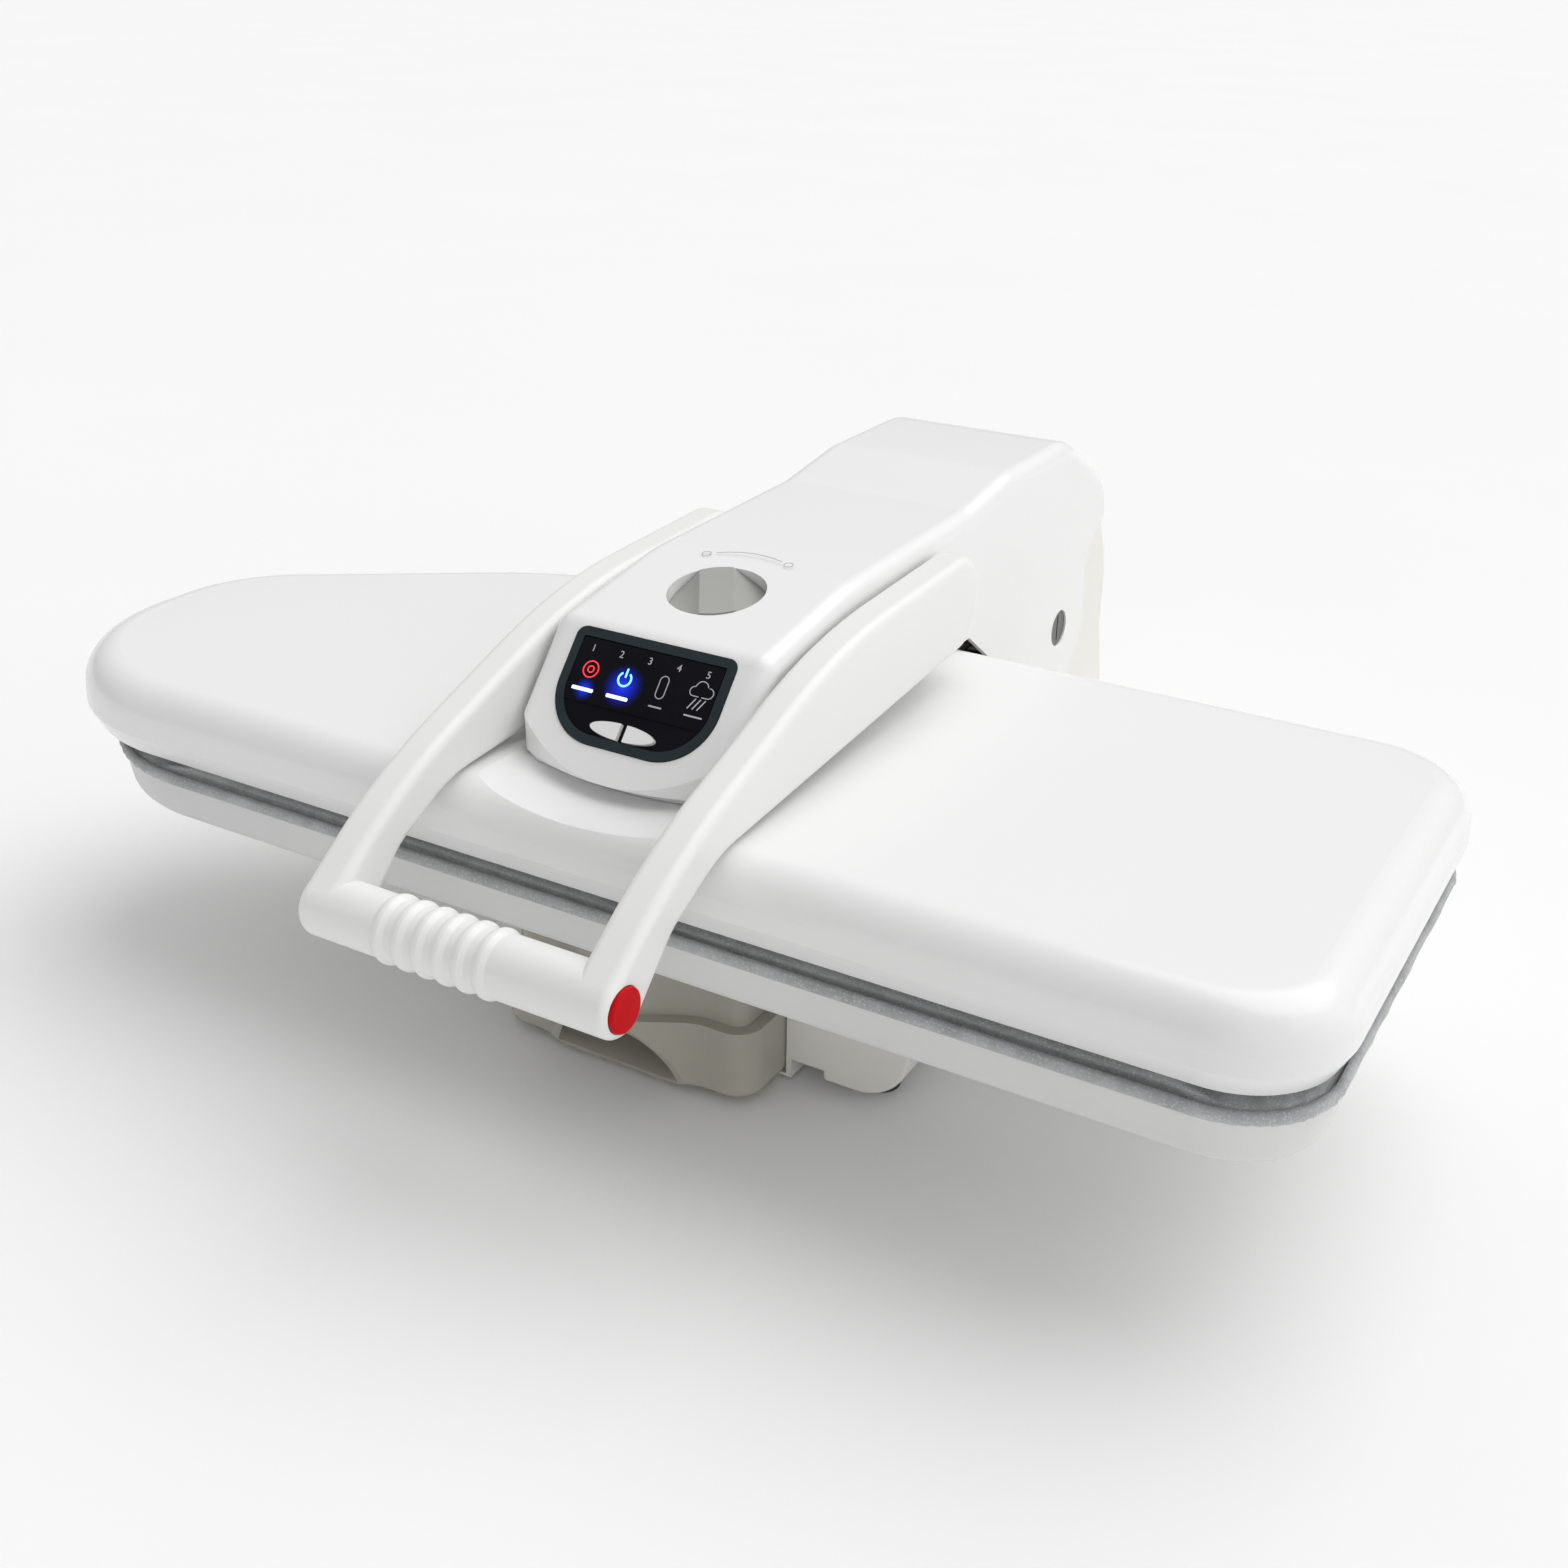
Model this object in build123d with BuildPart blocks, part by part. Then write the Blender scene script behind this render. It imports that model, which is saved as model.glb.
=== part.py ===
from build123d import *
import math
import os

# Steam ironing press, closed as it stands on a table.
# Frame: millimetres, +X to the square end of the board, -Y to the front, +Z up,
# origin on the table under the middle of the part's box.
os.makedirs("parts", exist_ok=True)

# Driving sizes of the whole press
cover_length = 660.0
overall_depth = 568.0
handle_reach = 77.0
pivot_setback = 126.0
column_setback = 93.0
seam_height = 118.0
cover_height = 35.0
arm_x = 14.0
cover_depth = overall_depth - handle_reach - pivot_setback - column_setback
cover_left_x = -cover_length / 2
cover_front_y = -overall_depth / 2 + handle_reach
cover_back_y = cover_front_y + cover_depth
cover_top_z = seam_height + cover_height
column_back_y = overall_depth / 2

# Walls, clearances and overruns shared by the sub-parts
shell_wall = 2.7
sheet = 1.5
running_gap = 0.3
bore_clearance = 0.05
seat_gap = 0.02
overrun = 4.0

# Hinge of the head, behind the board at the level of the ironing surface
pivot_rise = 2.0
pivot_y = cover_back_y + pivot_setback
pivot_z = seam_height + pivot_rise
pivot_shaft_radius = 6.0


def span_box(x0, x1, y0, y1, z0, z1, mode=Mode.ADD):
    """Box between two corners, joined to the part being built."""
    with Locations(((x0 + x1) / 2, (y0 + y1) / 2, (z0 + z1) / 2)):
        Box(x1 - x0, y1 - y0, z1 - z0, mode=mode)


def rod(start, direction, length, radius, mode=Mode.ADD):
    """Round bar from a start point along a direction."""
    with BuildSketch(Plane(origin=start, z_dir=direction)) as section:
        Circle(radius)
    extrude(section.sketch, amount=length, mode=mode)


def cross_bar(y, z, x0, x1, radius, mode=Mode.ADD):
    """Round bar along X between two planes."""
    rod((x0, y, z), (1, 0, 0), x1 - x0, radius, mode)


def sleeve(y, z, x0, x1, outer_radius, inner_radius):
    """Tube along X between two planes, given in either order."""
    with BuildSketch(Plane(origin=(min(x0, x1), y, z), z_dir=(1, 0, 0))) as ring:
        Circle(outer_radius)
        Circle(inner_radius, mode=Mode.SUBTRACT)
    extrude(ring.sketch, amount=abs(x1 - x0))


def post(x, y, z0, z1, radius, mode=Mode.ADD):
    """Round bar along Z between two heights."""
    rod((x, y, z0), (0, 0, 1), z1 - z0, radius, mode)


def side_face(x, points, radii):
    """Face in a YZ plane, its corners rounded."""
    with BuildSketch(Plane.YZ.offset(x)) as face:
        with BuildLine():
            FilletPolyline(*points, radius=radii, close=True)
        make_face()
    return face.sketch


def save(builder, name):
    """Label a finished sub-part and write its STEP file."""
    builder.part.label = name
    export_step(builder.part, f"parts/{name}.step")


# Plan of the board: square at the right, cut to a nose at the left. The nose is given
# as shares of the cover's depth.
nose_cut_length_share = 0.6287
nose_cut_depth_share = 0.4404
front_left_radius_share = 0.35
nose_start_radius_share = 0.735
nose_tip_radius_share = 0.294
front_right_radius = 45.0
back_right_radius = 50.0


def board_plan(height, inset, left_inset=0.0):
    """Face of the board's plan at a height, drawn in by an inset."""
    left = cover_left_x + left_inset
    right = -cover_left_x
    with BuildSketch(Plane.XY.offset(height)) as plan:
        with BuildLine():
            FilletPolyline(
                (left, cover_front_y),
                (right, cover_front_y),
                (right, cover_back_y),
                (left + cover_depth * nose_cut_length_share, cover_back_y),
                (left, cover_back_y - cover_depth * nose_cut_depth_share),
                radius=(cover_depth * front_left_radius_share, front_right_radius, back_right_radius,
                        cover_depth * nose_start_radius_share, cover_depth * nose_tip_radius_share),
                close=True)
        make_face()
        if inset > 0:
            offset(amount=-inset, mode=Mode.REPLACE)
    return plan.sketch


def cover_spots(shares):
    """Spots on the cover's plan, from shares of its length and of its depth."""
    return [(cover_left_x + cover_length * along, cover_front_y + cover_depth * back)
            for along, back in shares]


# Cover of the head: a skirt that widens to the parting line and a rounded top
skirt_height = 10.0
skirt_inset = 5.0
upper_draft = 3.0
shoulder_radius = 18.0
parting_z = seam_height + skirt_height
skirt_draft = math.degrees(math.atan(skirt_inset / skirt_height))
# Shallow scoop in the cover's front, between the handle's arms
scoop_radius = 250.0
scoop_depth = 6.0
scoop_run = 90.0


def cover_form(inset, drop):
    """Solid cover form, drawn in by an inset, its skirt lengthened by a drop."""
    with BuildPart() as form:
        add(board_plan(parting_z, inset))
        extrude(amount=cover_height - skirt_height - inset, taper=upper_draft)
        fillet(form.edges().group_by(Axis.Z)[-1], shoulder_radius - inset)
        add(board_plan(parting_z, inset))
        extrude(amount=-(skirt_height + drop), taper=skirt_draft)
        rod((arm_x, cover_front_y - overrun, cover_top_z + scoop_radius - scoop_depth),
            (0, 1, 0), scoop_run + overrun, scoop_radius + inset, Mode.SUBTRACT)
    return form.part


# Hood of the head arm. Its side profile is a list of shares: how far from the nose
# to the pivot, and how far from the lip to the top of the hump.
hood_half_width = 55.5
nose_setback = 31.0
lip_rise = 1.0
hump_rise = 76.5
hood_profile_shares = (
    (0.0, 0.0), (0.1226, 0.695), (0.316, 0.854), (0.6485, 0.894),
    (0.785, 0.993), (0.997, 1.0), (1.161, 0.556), (1.174, 0.305))
hood_corner_radii = (0.0, 10.0, 150.0, 40.0, 60.0, 46.0, 34.0, 0.0)
hood_edge_radius = 8.0
lobe_radius = 37.0
rear_notch_rise = 32.0
rear_notch_back = 30.0
rear_notch_radius = 28.0
slant_back = 43.0
slant_rise = 4.0
neck_height = 1.0
nose_corner_radius = 14.0
nose_bulge = 16.0
nose_y = cover_front_y + nose_setback
lip_z = cover_top_z + lip_rise
hump_top_z = cover_top_z + hump_rise
hood_reach = pivot_y - nose_y
hood_rise = hump_top_z - lip_z


def hood_point(along_share, up_share):
    """Point of the hood's side profile."""
    return (nose_y + hood_reach * along_share, lip_z + hood_rise * up_share)


hood_top = [hood_point(*shares) for shares in hood_profile_shares]
panel_start = hood_top[0]
panel_end = hood_top[1]
panel_angle = math.atan2(panel_end[1] - panel_start[1], panel_end[0] - panel_start[0])
panel_length = math.hypot(panel_end[0] - panel_start[0], panel_end[1] - panel_start[1])
panel_normal = (0, -math.sin(panel_angle), math.cos(panel_angle))
panel_plane = Plane(origin=(arm_x, panel_start[0], panel_start[1]), x_dir=(1, 0, 0),
                    z_dir=panel_normal)
lobe_seat_turn = 125.0
lobe_seat_angle = math.radians(lobe_seat_turn)
lobe_front = (pivot_y - lobe_radius * math.sin(lobe_seat_angle - math.pi / 2),
              pivot_z - lobe_radius * math.cos(lobe_seat_angle - math.pi / 2))
lobe_out_share = 0.96
lobe_up_share = 0.27
slant_radius = 12.0


def hood_outline(x, inset):
    """Side face of the hood, with the round lobe about the pivot."""
    rear = [(pivot_y + rear_notch_back, pivot_z + rear_notch_rise),
            (pivot_y + lobe_radius * lobe_out_share, pivot_z + lobe_radius * lobe_up_share),
            (pivot_y, pivot_z),
            lobe_front,
            (cover_back_y + slant_back, pivot_z + slant_rise),
            (cover_back_y + lip_rise, lip_z)]
    rear_radii = [rear_notch_radius, 0.0, 0.0, 0.0, slant_radius, 0.0]
    with BuildSketch(Plane.YZ.offset(x)) as face:
        with BuildLine():
            FilletPolyline(*hood_top, *rear, radius=list(hood_corner_radii) + rear_radii,
                           close=True)
        make_face()
        with Locations((pivot_y, pivot_z)):
            Circle(lobe_radius)
        if inset > 0:
            offset(amount=-inset, mode=Mode.REPLACE)
    return face.sketch


def nose_plan(inset):
    """Plan of the hood with its bulged, round-cornered nose."""
    with BuildSketch(Plane.XY) as plan:
        with BuildLine():
            ThreePointArc((arm_x - hood_half_width, nose_y + nose_bulge), (arm_x, nose_y),
                          (arm_x + hood_half_width, nose_y + nose_bulge))
            Polyline((arm_x + hood_half_width, nose_y + nose_bulge),
                     (arm_x + hood_half_width, column_back_y),
                     (arm_x - hood_half_width, column_back_y),
                     (arm_x - hood_half_width, nose_y + nose_bulge))
        make_face()
        fillet(plan.vertices().group_by(Axis.Y)[0], nose_corner_radius)
        if inset > 0:
            offset(amount=-inset, mode=Mode.REPLACE)
    return plan.sketch


def hood_form(inset):
    """Solid hood form, drawn in by an inset on all sides."""
    half = hood_half_width - inset
    with BuildPart() as form:
        extrude(hood_outline(arm_x - half, inset), amount=2 * half)
        right = form.edges().filter_by_position(Axis.X, arm_x + half - seat_gap, arm_x + half + seat_gap)
        left = form.edges().filter_by_position(Axis.X, arm_x - half - seat_gap, arm_x - half + seat_gap)
        top_edges = (right + left).filter_by(lambda edge: edge.center().Z > hood_top[-1][1] + overrun)
        fillet(top_edges, hood_edge_radius - inset)
        extrude(nose_plan(inset), amount=hump_top_z, mode=Mode.INTERSECT)
    return form.part


# Board under the cover: a sheet pan, its felt and its cloth
board_left_inset = 16.0
board_drop = 33.0
pan_height = 22.0
pan_inset = 4.0
pan_draft = 8.0
pan_edge_radius = 8.0
plate_drop = 1.0
cloth_height = 13.0
cloth_thickness = 1.2
cloth_inset = 2.5
pad_edge_radius = 6.0
pan_bottom_z = seam_height - board_drop
pan_top_z = pan_bottom_z + pan_height
plate_bottom_z = seam_height - plate_drop
cloth_top_z = plate_bottom_z - running_gap
cloth_skirt_z = cloth_top_z - cloth_height

board_bolt_radius = 2.5
board_bolt_rows = ((-91.0, 111.0), (-89.0, 111.0), (-44.0, 56.0))
board_bolt_setbacks = (107.0, 227.0, 252.0)
board_bolt_spots = [(arm_x + bolt_x, cover_front_y + setback)
                    for row, setback in zip(board_bolt_rows, board_bolt_setbacks) for bolt_x in row]
with BuildPart() as pan_hollow:
    add(board_plan(pan_top_z, pan_inset + sheet, board_left_inset))
    extrude(amount=-(pan_height - sheet), taper=pan_draft)
    fillet(pan_hollow.edges().group_by(Axis.Z)[0], pan_edge_radius - sheet)
with BuildPart() as board_pan:
    add(board_plan(pan_top_z, pan_inset, board_left_inset))
    extrude(amount=-pan_height, taper=pan_draft)
    fillet(board_pan.edges().group_by(Axis.Z)[0], pan_edge_radius)
    add(pan_hollow.part, mode=Mode.SUBTRACT)
    for bolt_x, bolt_y in board_bolt_spots:
        post(bolt_x, bolt_y, pan_bottom_z - overrun, pan_bottom_z + overrun, board_bolt_radius + seat_gap,
             Mode.SUBTRACT)
save(board_pan, "board_pan")

cloth_inner_inset = cloth_inset + cloth_thickness
cloth_inner_top_z = cloth_top_z - cloth_thickness
with BuildPart() as cloth_hollow:
    add(board_plan(cloth_skirt_z - overrun, cloth_inner_inset, board_left_inset))
    extrude(amount=cloth_inner_top_z - cloth_skirt_z + overrun)
    fillet(cloth_hollow.edges().group_by(Axis.Z)[-1], pad_edge_radius - cloth_thickness)
with BuildPart() as pad_cloth:
    add(board_plan(cloth_skirt_z, cloth_inset, board_left_inset))
    extrude(amount=cloth_top_z - cloth_skirt_z)
    fillet(pad_cloth.edges().group_by(Axis.Z)[-1], pad_edge_radius)
    add(cloth_hollow.part, mode=Mode.SUBTRACT)
save(pad_cloth, "pad_cloth")

felt_bottom_z = pan_bottom_z + sheet + seat_gap
felt_inset = pan_inset + sheet + pan_height * math.tan(math.radians(pan_draft)) + running_gap
felt_top_z = cloth_inner_top_z - running_gap
with BuildPart() as pad_felt:
    add(board_plan(felt_bottom_z, felt_inset, board_left_inset))
    extrude(amount=felt_top_z - felt_bottom_z)
    fillet(pad_felt.edges().group_by(Axis.Z)[-1], pad_edge_radius - cloth_thickness)
    fillet(pad_felt.edges().group_by(Axis.Z)[0], pan_edge_radius)
save(pad_felt, "pad_felt")

# Cover of the head
bracket_hole_half = 40.0
bracket_front_share = 0.364
bracket_back_share = 0.6066
bracket_front_y = cover_front_y + cover_depth * bracket_front_share
bracket_back_y = cover_front_y + cover_depth * bracket_back_share
boss_radius = 5.0
shield_drop = 17.0
shield_z = cover_top_z - shield_drop
shield_sheet = 1.0
cover_boss_shares = ((0.121, 0.246), (0.273, 0.82), (0.318, 0.154),
                     (0.697, 0.154), (0.909, 0.21), (0.909, 0.82))
cover_bosses = cover_spots(cover_boss_shares)
screw_radius = 1.7
screw_head_radius = 3.4
screw_head_height = 2.2
cover_inner_z = cover_top_z - shell_wall
with BuildPart() as cover_shell:
    add(cover_form(0.0, 0.0))
    add(cover_form(shell_wall, overrun), mode=Mode.SUBTRACT)
    for boss_x, boss_y in cover_bosses:
        post(boss_x, boss_y, shield_z + shield_sheet + seat_gap, cover_inner_z + sheet, boss_radius)
        post(boss_x, boss_y, shield_z, cover_inner_z, screw_radius + seat_gap, Mode.SUBTRACT)
    span_box(arm_x - bracket_hole_half, arm_x + bracket_hole_half, bracket_front_y, bracket_back_y,
             shield_z, cover_top_z + overrun, Mode.SUBTRACT)
save(cover_shell, "cover_shell")

# Heated plate with its element, steam box and shield
plate_inset = 9.2
plate_thickness = 6.0
plate_edge_radius = 2.5
element_radius = 3.5
element_inset = 34.0
element_gap_half = 34.0
terminal_rise = 10.0
terminal_share = 0.6
steam_hole_radius = 1.6
steam_pitch = 37.0
steam_columns = 12
steam_rows = 4
steam_centre = cover_spots(((0.5606, 0.4853),))
plate_top_z = plate_bottom_z + plate_thickness
element_back_y = cover_back_y - element_inset


def element_ring(radius, mode):
    """Tube along the board's plan, sunk to its middle in the plate's top."""
    path = board_plan(plate_top_z, element_inset).wire()
    with BuildSketch(Plane(origin=path @ 0, z_dir=path % 0)) as section:
        Circle(radius)
    sweep(section.sketch, path=path, mode=mode)


with BuildPart() as heater_plate:
    add(board_plan(plate_bottom_z, plate_inset))
    extrude(amount=plate_thickness)
    fillet(heater_plate.edges().group_by(Axis.Z)[0], plate_edge_radius)
    element_ring(element_radius + seat_gap, Mode.SUBTRACT)
    with BuildSketch(Plane.XY.offset(plate_bottom_z)) as steam_holes:
        with Locations(*steam_centre):
            with GridLocations(steam_pitch, steam_pitch, steam_columns, steam_rows):
                Circle(steam_hole_radius)
    extrude(steam_holes.sketch, amount=plate_thickness, mode=Mode.SUBTRACT)
save(heater_plate, "heater_plate")

with BuildPart() as heating_element:
    element_ring(element_radius, Mode.ADD)
    span_box(arm_x - element_gap_half, arm_x + element_gap_half,
             element_back_y - 2 * element_radius, element_back_y + 2 * element_radius,
             plate_top_z - 2 * element_radius, plate_top_z + 2 * element_radius, Mode.SUBTRACT)
    for side in (-1, 1):
        post(arm_x + side * (element_gap_half + element_radius), element_back_y,
             plate_top_z, plate_top_z + terminal_rise, element_radius * terminal_share)
save(heating_element, "heating_element")

steam_box_half = 58.0
steam_box_margin = 14.0
steam_box_front_y = bracket_front_y - steam_box_margin
steam_box_back_y = bracket_back_y + steam_box_margin
steam_box_height = 8.0
steam_box_wall = 2.0
steam_box_top_z = plate_top_z + steam_box_height
with BuildPart() as steam_box:
    span_box(arm_x - steam_box_half, arm_x + steam_box_half, steam_box_front_y, steam_box_back_y,
             plate_top_z + seat_gap, steam_box_top_z)
    fillet(steam_box.edges().filter_by(Axis.Z), 4 * steam_box_wall)
    span_box(arm_x - steam_box_half + steam_box_wall, arm_x + steam_box_half - steam_box_wall,
             steam_box_front_y + steam_box_wall, steam_box_back_y - steam_box_wall,
             plate_top_z, steam_box_top_z - steam_box_wall, Mode.SUBTRACT)
save(steam_box, "steam_box")

shield_inset = 14.0
spacer_shares = ((0.136, 0.485), (0.303, 0.6875), (0.379, 0.2096),
                 (0.667, 0.2096), (0.879, 0.485), (0.682, 0.761))
spacer_radius = 5.0
with BuildPart() as heat_shield:
    add(board_plan(shield_z, shield_inset))
    extrude(amount=shield_sheet)
    for boss_x, boss_y in cover_bosses:
        post(boss_x, boss_y, shield_z - overrun, shield_z + overrun, screw_radius + seat_gap, Mode.SUBTRACT)
    span_box(arm_x - bracket_hole_half, arm_x + bracket_hole_half, bracket_front_y, bracket_back_y,
             shield_z - overrun, shield_z + overrun, Mode.SUBTRACT)
save(heat_shield, "heat_shield")

with BuildPart() as plate_spacers:
    for spacer_x, spacer_y in cover_spots(spacer_shares):
        post(spacer_x, spacer_y, plate_top_z + seat_gap, shield_z - seat_gap, spacer_radius)
save(plate_spacers, "plate_spacers")

screw_length = 9.0
with BuildPart() as cover_screws:
    for boss_x, boss_y in cover_bosses:
        post(boss_x, boss_y, shield_z - screw_head_height - seat_gap, shield_z - seat_gap, screw_head_radius)
        post(boss_x, boss_y, shield_z - seat_gap, shield_z + screw_length, screw_radius)
save(cover_screws, "cover_screws")

control_shares = ((0.667, 0.485), (0.333, 0.485))
(thermostat_x, thermostat_y), (fuse_x, fuse_y) = cover_spots(control_shares)
thermostat_radius = 9.0
thermostat_height = 12.0
fuse_half = 11.0
with BuildPart() as thermostat:
    post(thermostat_x, thermostat_y, plate_top_z + seat_gap, plate_top_z + thermostat_height,
         thermostat_radius)
save(thermostat, "thermostat")
with BuildPart() as thermal_fuse:
    span_box(fuse_x - fuse_half, fuse_x + fuse_half, fuse_y - fuse_half / 2,
             fuse_y + fuse_half / 2, plate_top_z + seat_gap, plate_top_z + thermostat_height / 2)
save(thermal_fuse, "thermal_fuse")

# Steel arm from the hinge to the plate
arm_half = 39.0
arm_plate = 3.0
arm_rise = 35.0
arm_depth = 26.0
arm_front_set = 4.0
arm_knee_set = 43.0
arm_throat_set = 99.0
arm_eye_radius = 15.0
arm_top_z = cover_top_z + arm_rise
arm_bottom_z = arm_top_z - arm_depth
arm_front_y = bracket_front_y + arm_front_set
arm_knee_y = pivot_y - arm_knee_set
arm_throat_y = pivot_y - arm_throat_set
spring_pin_radius = 3.0
spring_pin_set = 46.0
spring_pin_y = pivot_y - spring_pin_set
spring_coil_radius = 15.0
spring_wire_radius = 1.75
spring_pin_z = pivot_z + spring_coil_radius + spring_wire_radius + running_gap + spring_pin_radius
hanger_bolt_radius = 4.0
hanger_bolt_drop = 14.0
hanger_bolt_z = arm_top_z - hanger_bolt_drop
hanger_y = (bracket_front_y + bracket_back_y) / 2
arm_points = (
    (arm_front_y, arm_bottom_z), (arm_front_y, arm_top_z), (arm_knee_y, arm_top_z),
    (pivot_y + arm_eye_radius, pivot_z + 2 * arm_eye_radius), (pivot_y + arm_eye_radius, pivot_z),
    (pivot_y - arm_eye_radius, pivot_z), (arm_throat_y, arm_bottom_z))
arm_radii = (6.0, 10.0, 30.0, 20.0, 0.0, 0.0, 25.0)
web_back_set = 73.0
web_back_y = pivot_y - web_back_set
hood_boss_half = 30.0
hood_boss_front_set = 6.0
hood_boss_back_set = 95.0
hood_boss_spots = [(side * hood_boss_half, y)
                  for y in (bracket_back_y + hood_boss_front_set, pivot_y - hood_boss_back_set)
                  for side in (-1, 1)]
with BuildPart() as head_arm:
    for face_x in (arm_x - arm_half, arm_x + arm_half - arm_plate):
        extrude(side_face(face_x, arm_points, arm_radii), amount=arm_plate)
        cross_bar(pivot_y, pivot_z, face_x, face_x + arm_plate, arm_eye_radius)
    span_box(arm_x - arm_half, arm_x + arm_half, arm_front_y + 2 * arm_plate, web_back_y,
             arm_top_z - arm_plate, arm_top_z)
    cross_bar(spring_pin_y, spring_pin_z, arm_x - arm_half, arm_x + arm_half, spring_pin_radius)
    cross_bar(pivot_y, pivot_z, arm_x - arm_half, arm_x + arm_half,
              pivot_shaft_radius + seat_gap, Mode.SUBTRACT)
    cross_bar(hanger_y, hanger_bolt_z, arm_x - arm_half, arm_x + arm_half,
              hanger_bolt_radius + seat_gap, Mode.SUBTRACT)
    for boss_x, boss_y in hood_boss_spots:
        post(arm_x + boss_x, boss_y, arm_top_z - overrun, arm_top_z + overrun, screw_radius + seat_gap,
             Mode.SUBTRACT)
save(head_arm, "head_arm")

hose_radius = 4.0
hose_bore = 2.5
hose_bend = 14.0
steam_inlet_y = hanger_y + hose_bend
hanger_half = arm_half - arm_plate - seat_gap
hanger_margin = 3.0
with BuildPart() as plate_hanger:
    span_box(arm_x - hanger_half, arm_x + hanger_half, bracket_front_y + hanger_margin,
             bracket_back_y - hanger_margin, steam_box_top_z + seat_gap, arm_top_z - 2 * arm_plate)
    span_box(arm_x - hanger_half + arm_plate, arm_x + hanger_half - arm_plate, bracket_front_y,
             bracket_back_y, steam_box_top_z + arm_plate, arm_top_z, Mode.SUBTRACT)
    cross_bar(hanger_y, hanger_bolt_z, arm_x - arm_half, arm_x + arm_half,
              hanger_bolt_radius + seat_gap, Mode.SUBTRACT)
    post(arm_x, steam_inlet_y, plate_top_z, steam_box_top_z + 2 * arm_plate, hose_radius + running_gap,
         Mode.SUBTRACT)
save(plate_hanger, "plate_hanger")

bolt_head_height = 4.0
bolt_head_radius = 7.0
with BuildPart() as hanger_bolts:
    for side in (-1, 1):
        inner_x = arm_x + side * (hanger_half - 2 * arm_plate)
        outer_x = arm_x + side * (arm_half + seat_gap)
        cross_bar(hanger_y, hanger_bolt_z, min(inner_x, outer_x), max(inner_x, outer_x), hanger_bolt_radius)
        head_x = outer_x + side * bolt_head_height
        cross_bar(hanger_y, hanger_bolt_z, min(outer_x, head_x), max(outer_x, head_x), bolt_head_radius)
save(hanger_bolts, "hanger_bolts")

# Lock knob in the hood's top, its face square to the sloping roof
knob_radius = 22.0
knob_gap = 0.5
knob_height = 8.0
knob_proud = 0.6
knob_share = 0.62
knob_grip_half = 7.0
knob_scoop_radius = 26.0
knob_scoop_share = 0.72
knob_shaft_radius = 4.0
knob_shaft_length = 13.0
knob_cup_wall = 2.0
knob_turned = 32.0
cam_height = 4.0
cam_reach = 11.0
roof_start = hood_top[1]
roof_end = hood_top[2]
roof_angle = math.atan2(roof_end[1] - roof_start[1], roof_end[0] - roof_start[0])
roof_normal = Vector(0, -math.sin(roof_angle), math.cos(roof_angle))
knob_centre = Vector(arm_x, roof_start[0] + (roof_end[0] - roof_start[0]) * knob_share,
                     roof_start[1] + (roof_end[1] - roof_start[1]) * knob_share)
knob_x = Vector(math.cos(math.radians(knob_turned)), 0, 0) \
    + Vector(0, math.cos(roof_angle), math.sin(roof_angle)) * math.sin(math.radians(knob_turned))
knob_plane = Plane(origin=knob_centre, x_dir=knob_x, z_dir=roof_normal)
knob_floor = knob_height + running_gap

with BuildPart() as lock_knob:
    with BuildSketch(knob_plane.offset(-knob_height)) as disc:
        Circle(knob_radius)
    extrude(disc.sketch, amount=knob_height + knob_proud)
    for side in (-1, 1):
        scoop_plane = Plane(
            origin=knob_plane.from_local_coords(
                (side * (knob_grip_half + knob_scoop_radius * knob_scoop_share), -2 * knob_radius,
                 knob_proud + knob_scoop_radius * knob_scoop_share)),
            x_dir=knob_plane.x_dir, z_dir=knob_plane.y_dir)
        with BuildSketch(scoop_plane) as scoop:
            Circle(knob_scoop_radius)
        extrude(scoop.sketch, amount=4 * knob_radius, mode=Mode.SUBTRACT)
    with BuildSketch(knob_plane.offset(-knob_height)) as stem:
        Circle(knob_shaft_radius)
    extrude(stem.sketch, amount=-knob_shaft_length)
save(lock_knob, "lock_knob")

cam_top = knob_height + knob_cup_wall + 2 * running_gap
with BuildPart() as lock_cam:
    with BuildSketch(knob_plane.offset(-cam_top)) as cam:
        Circle(2 * knob_shaft_radius)
        with Locations((cam_reach / 2, 0)):
            SlotOverall(cam_reach + 2 * knob_shaft_radius, 2 * knob_shaft_radius)
        Circle(knob_shaft_radius + seat_gap, mode=Mode.SUBTRACT)
    extrude(cam.sketch, amount=-cam_height)
save(lock_cam, "lock_cam")

# Control panel in the sloping front of the hood
bezel_half = 41.0
bezel_top = 66.5
bezel_bottom = 15.0
bezel_low_radius = 26.0
bezel_high_radius = 5.0
bezel_depth = 1.4
bezel_proud = 0.6
bezel_frame = 4.5
bezel_ledge = 3.0
window_depth = 0.8
window_thickness = 1.6
display_low = 32.5
display_margin = 0.5
display_thickness = 0.6
button_long = 16.2
button_short = 3.8
button_gap_half = 1.6
button_centre = 23.6
button_proud = 1.8
button_length = 7.0
button_clearance = 0.35
button_lip = 0.9
button_travel = 1.2
board_depth = 11.5
circuit_board_half = 47.0
circuit_board_thickness = 1.6
membrane_thickness = 1.0


def bezel_face(depth, inset):
    """D-shaped face on the panel's plane, at a depth and drawn in by an inset."""
    with BuildSketch(panel_plane.offset(-depth)) as face:
        with BuildLine():
            FilletPolyline((-bezel_half, bezel_bottom), (bezel_half, bezel_bottom),
                           (bezel_half, bezel_top), (-bezel_half, bezel_top),
                           radius=(bezel_low_radius, bezel_low_radius,
                                   bezel_high_radius, bezel_high_radius), close=True)
        make_face()
        if inset > 0:
            offset(amount=-inset, mode=Mode.REPLACE)
    return face.sketch


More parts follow.
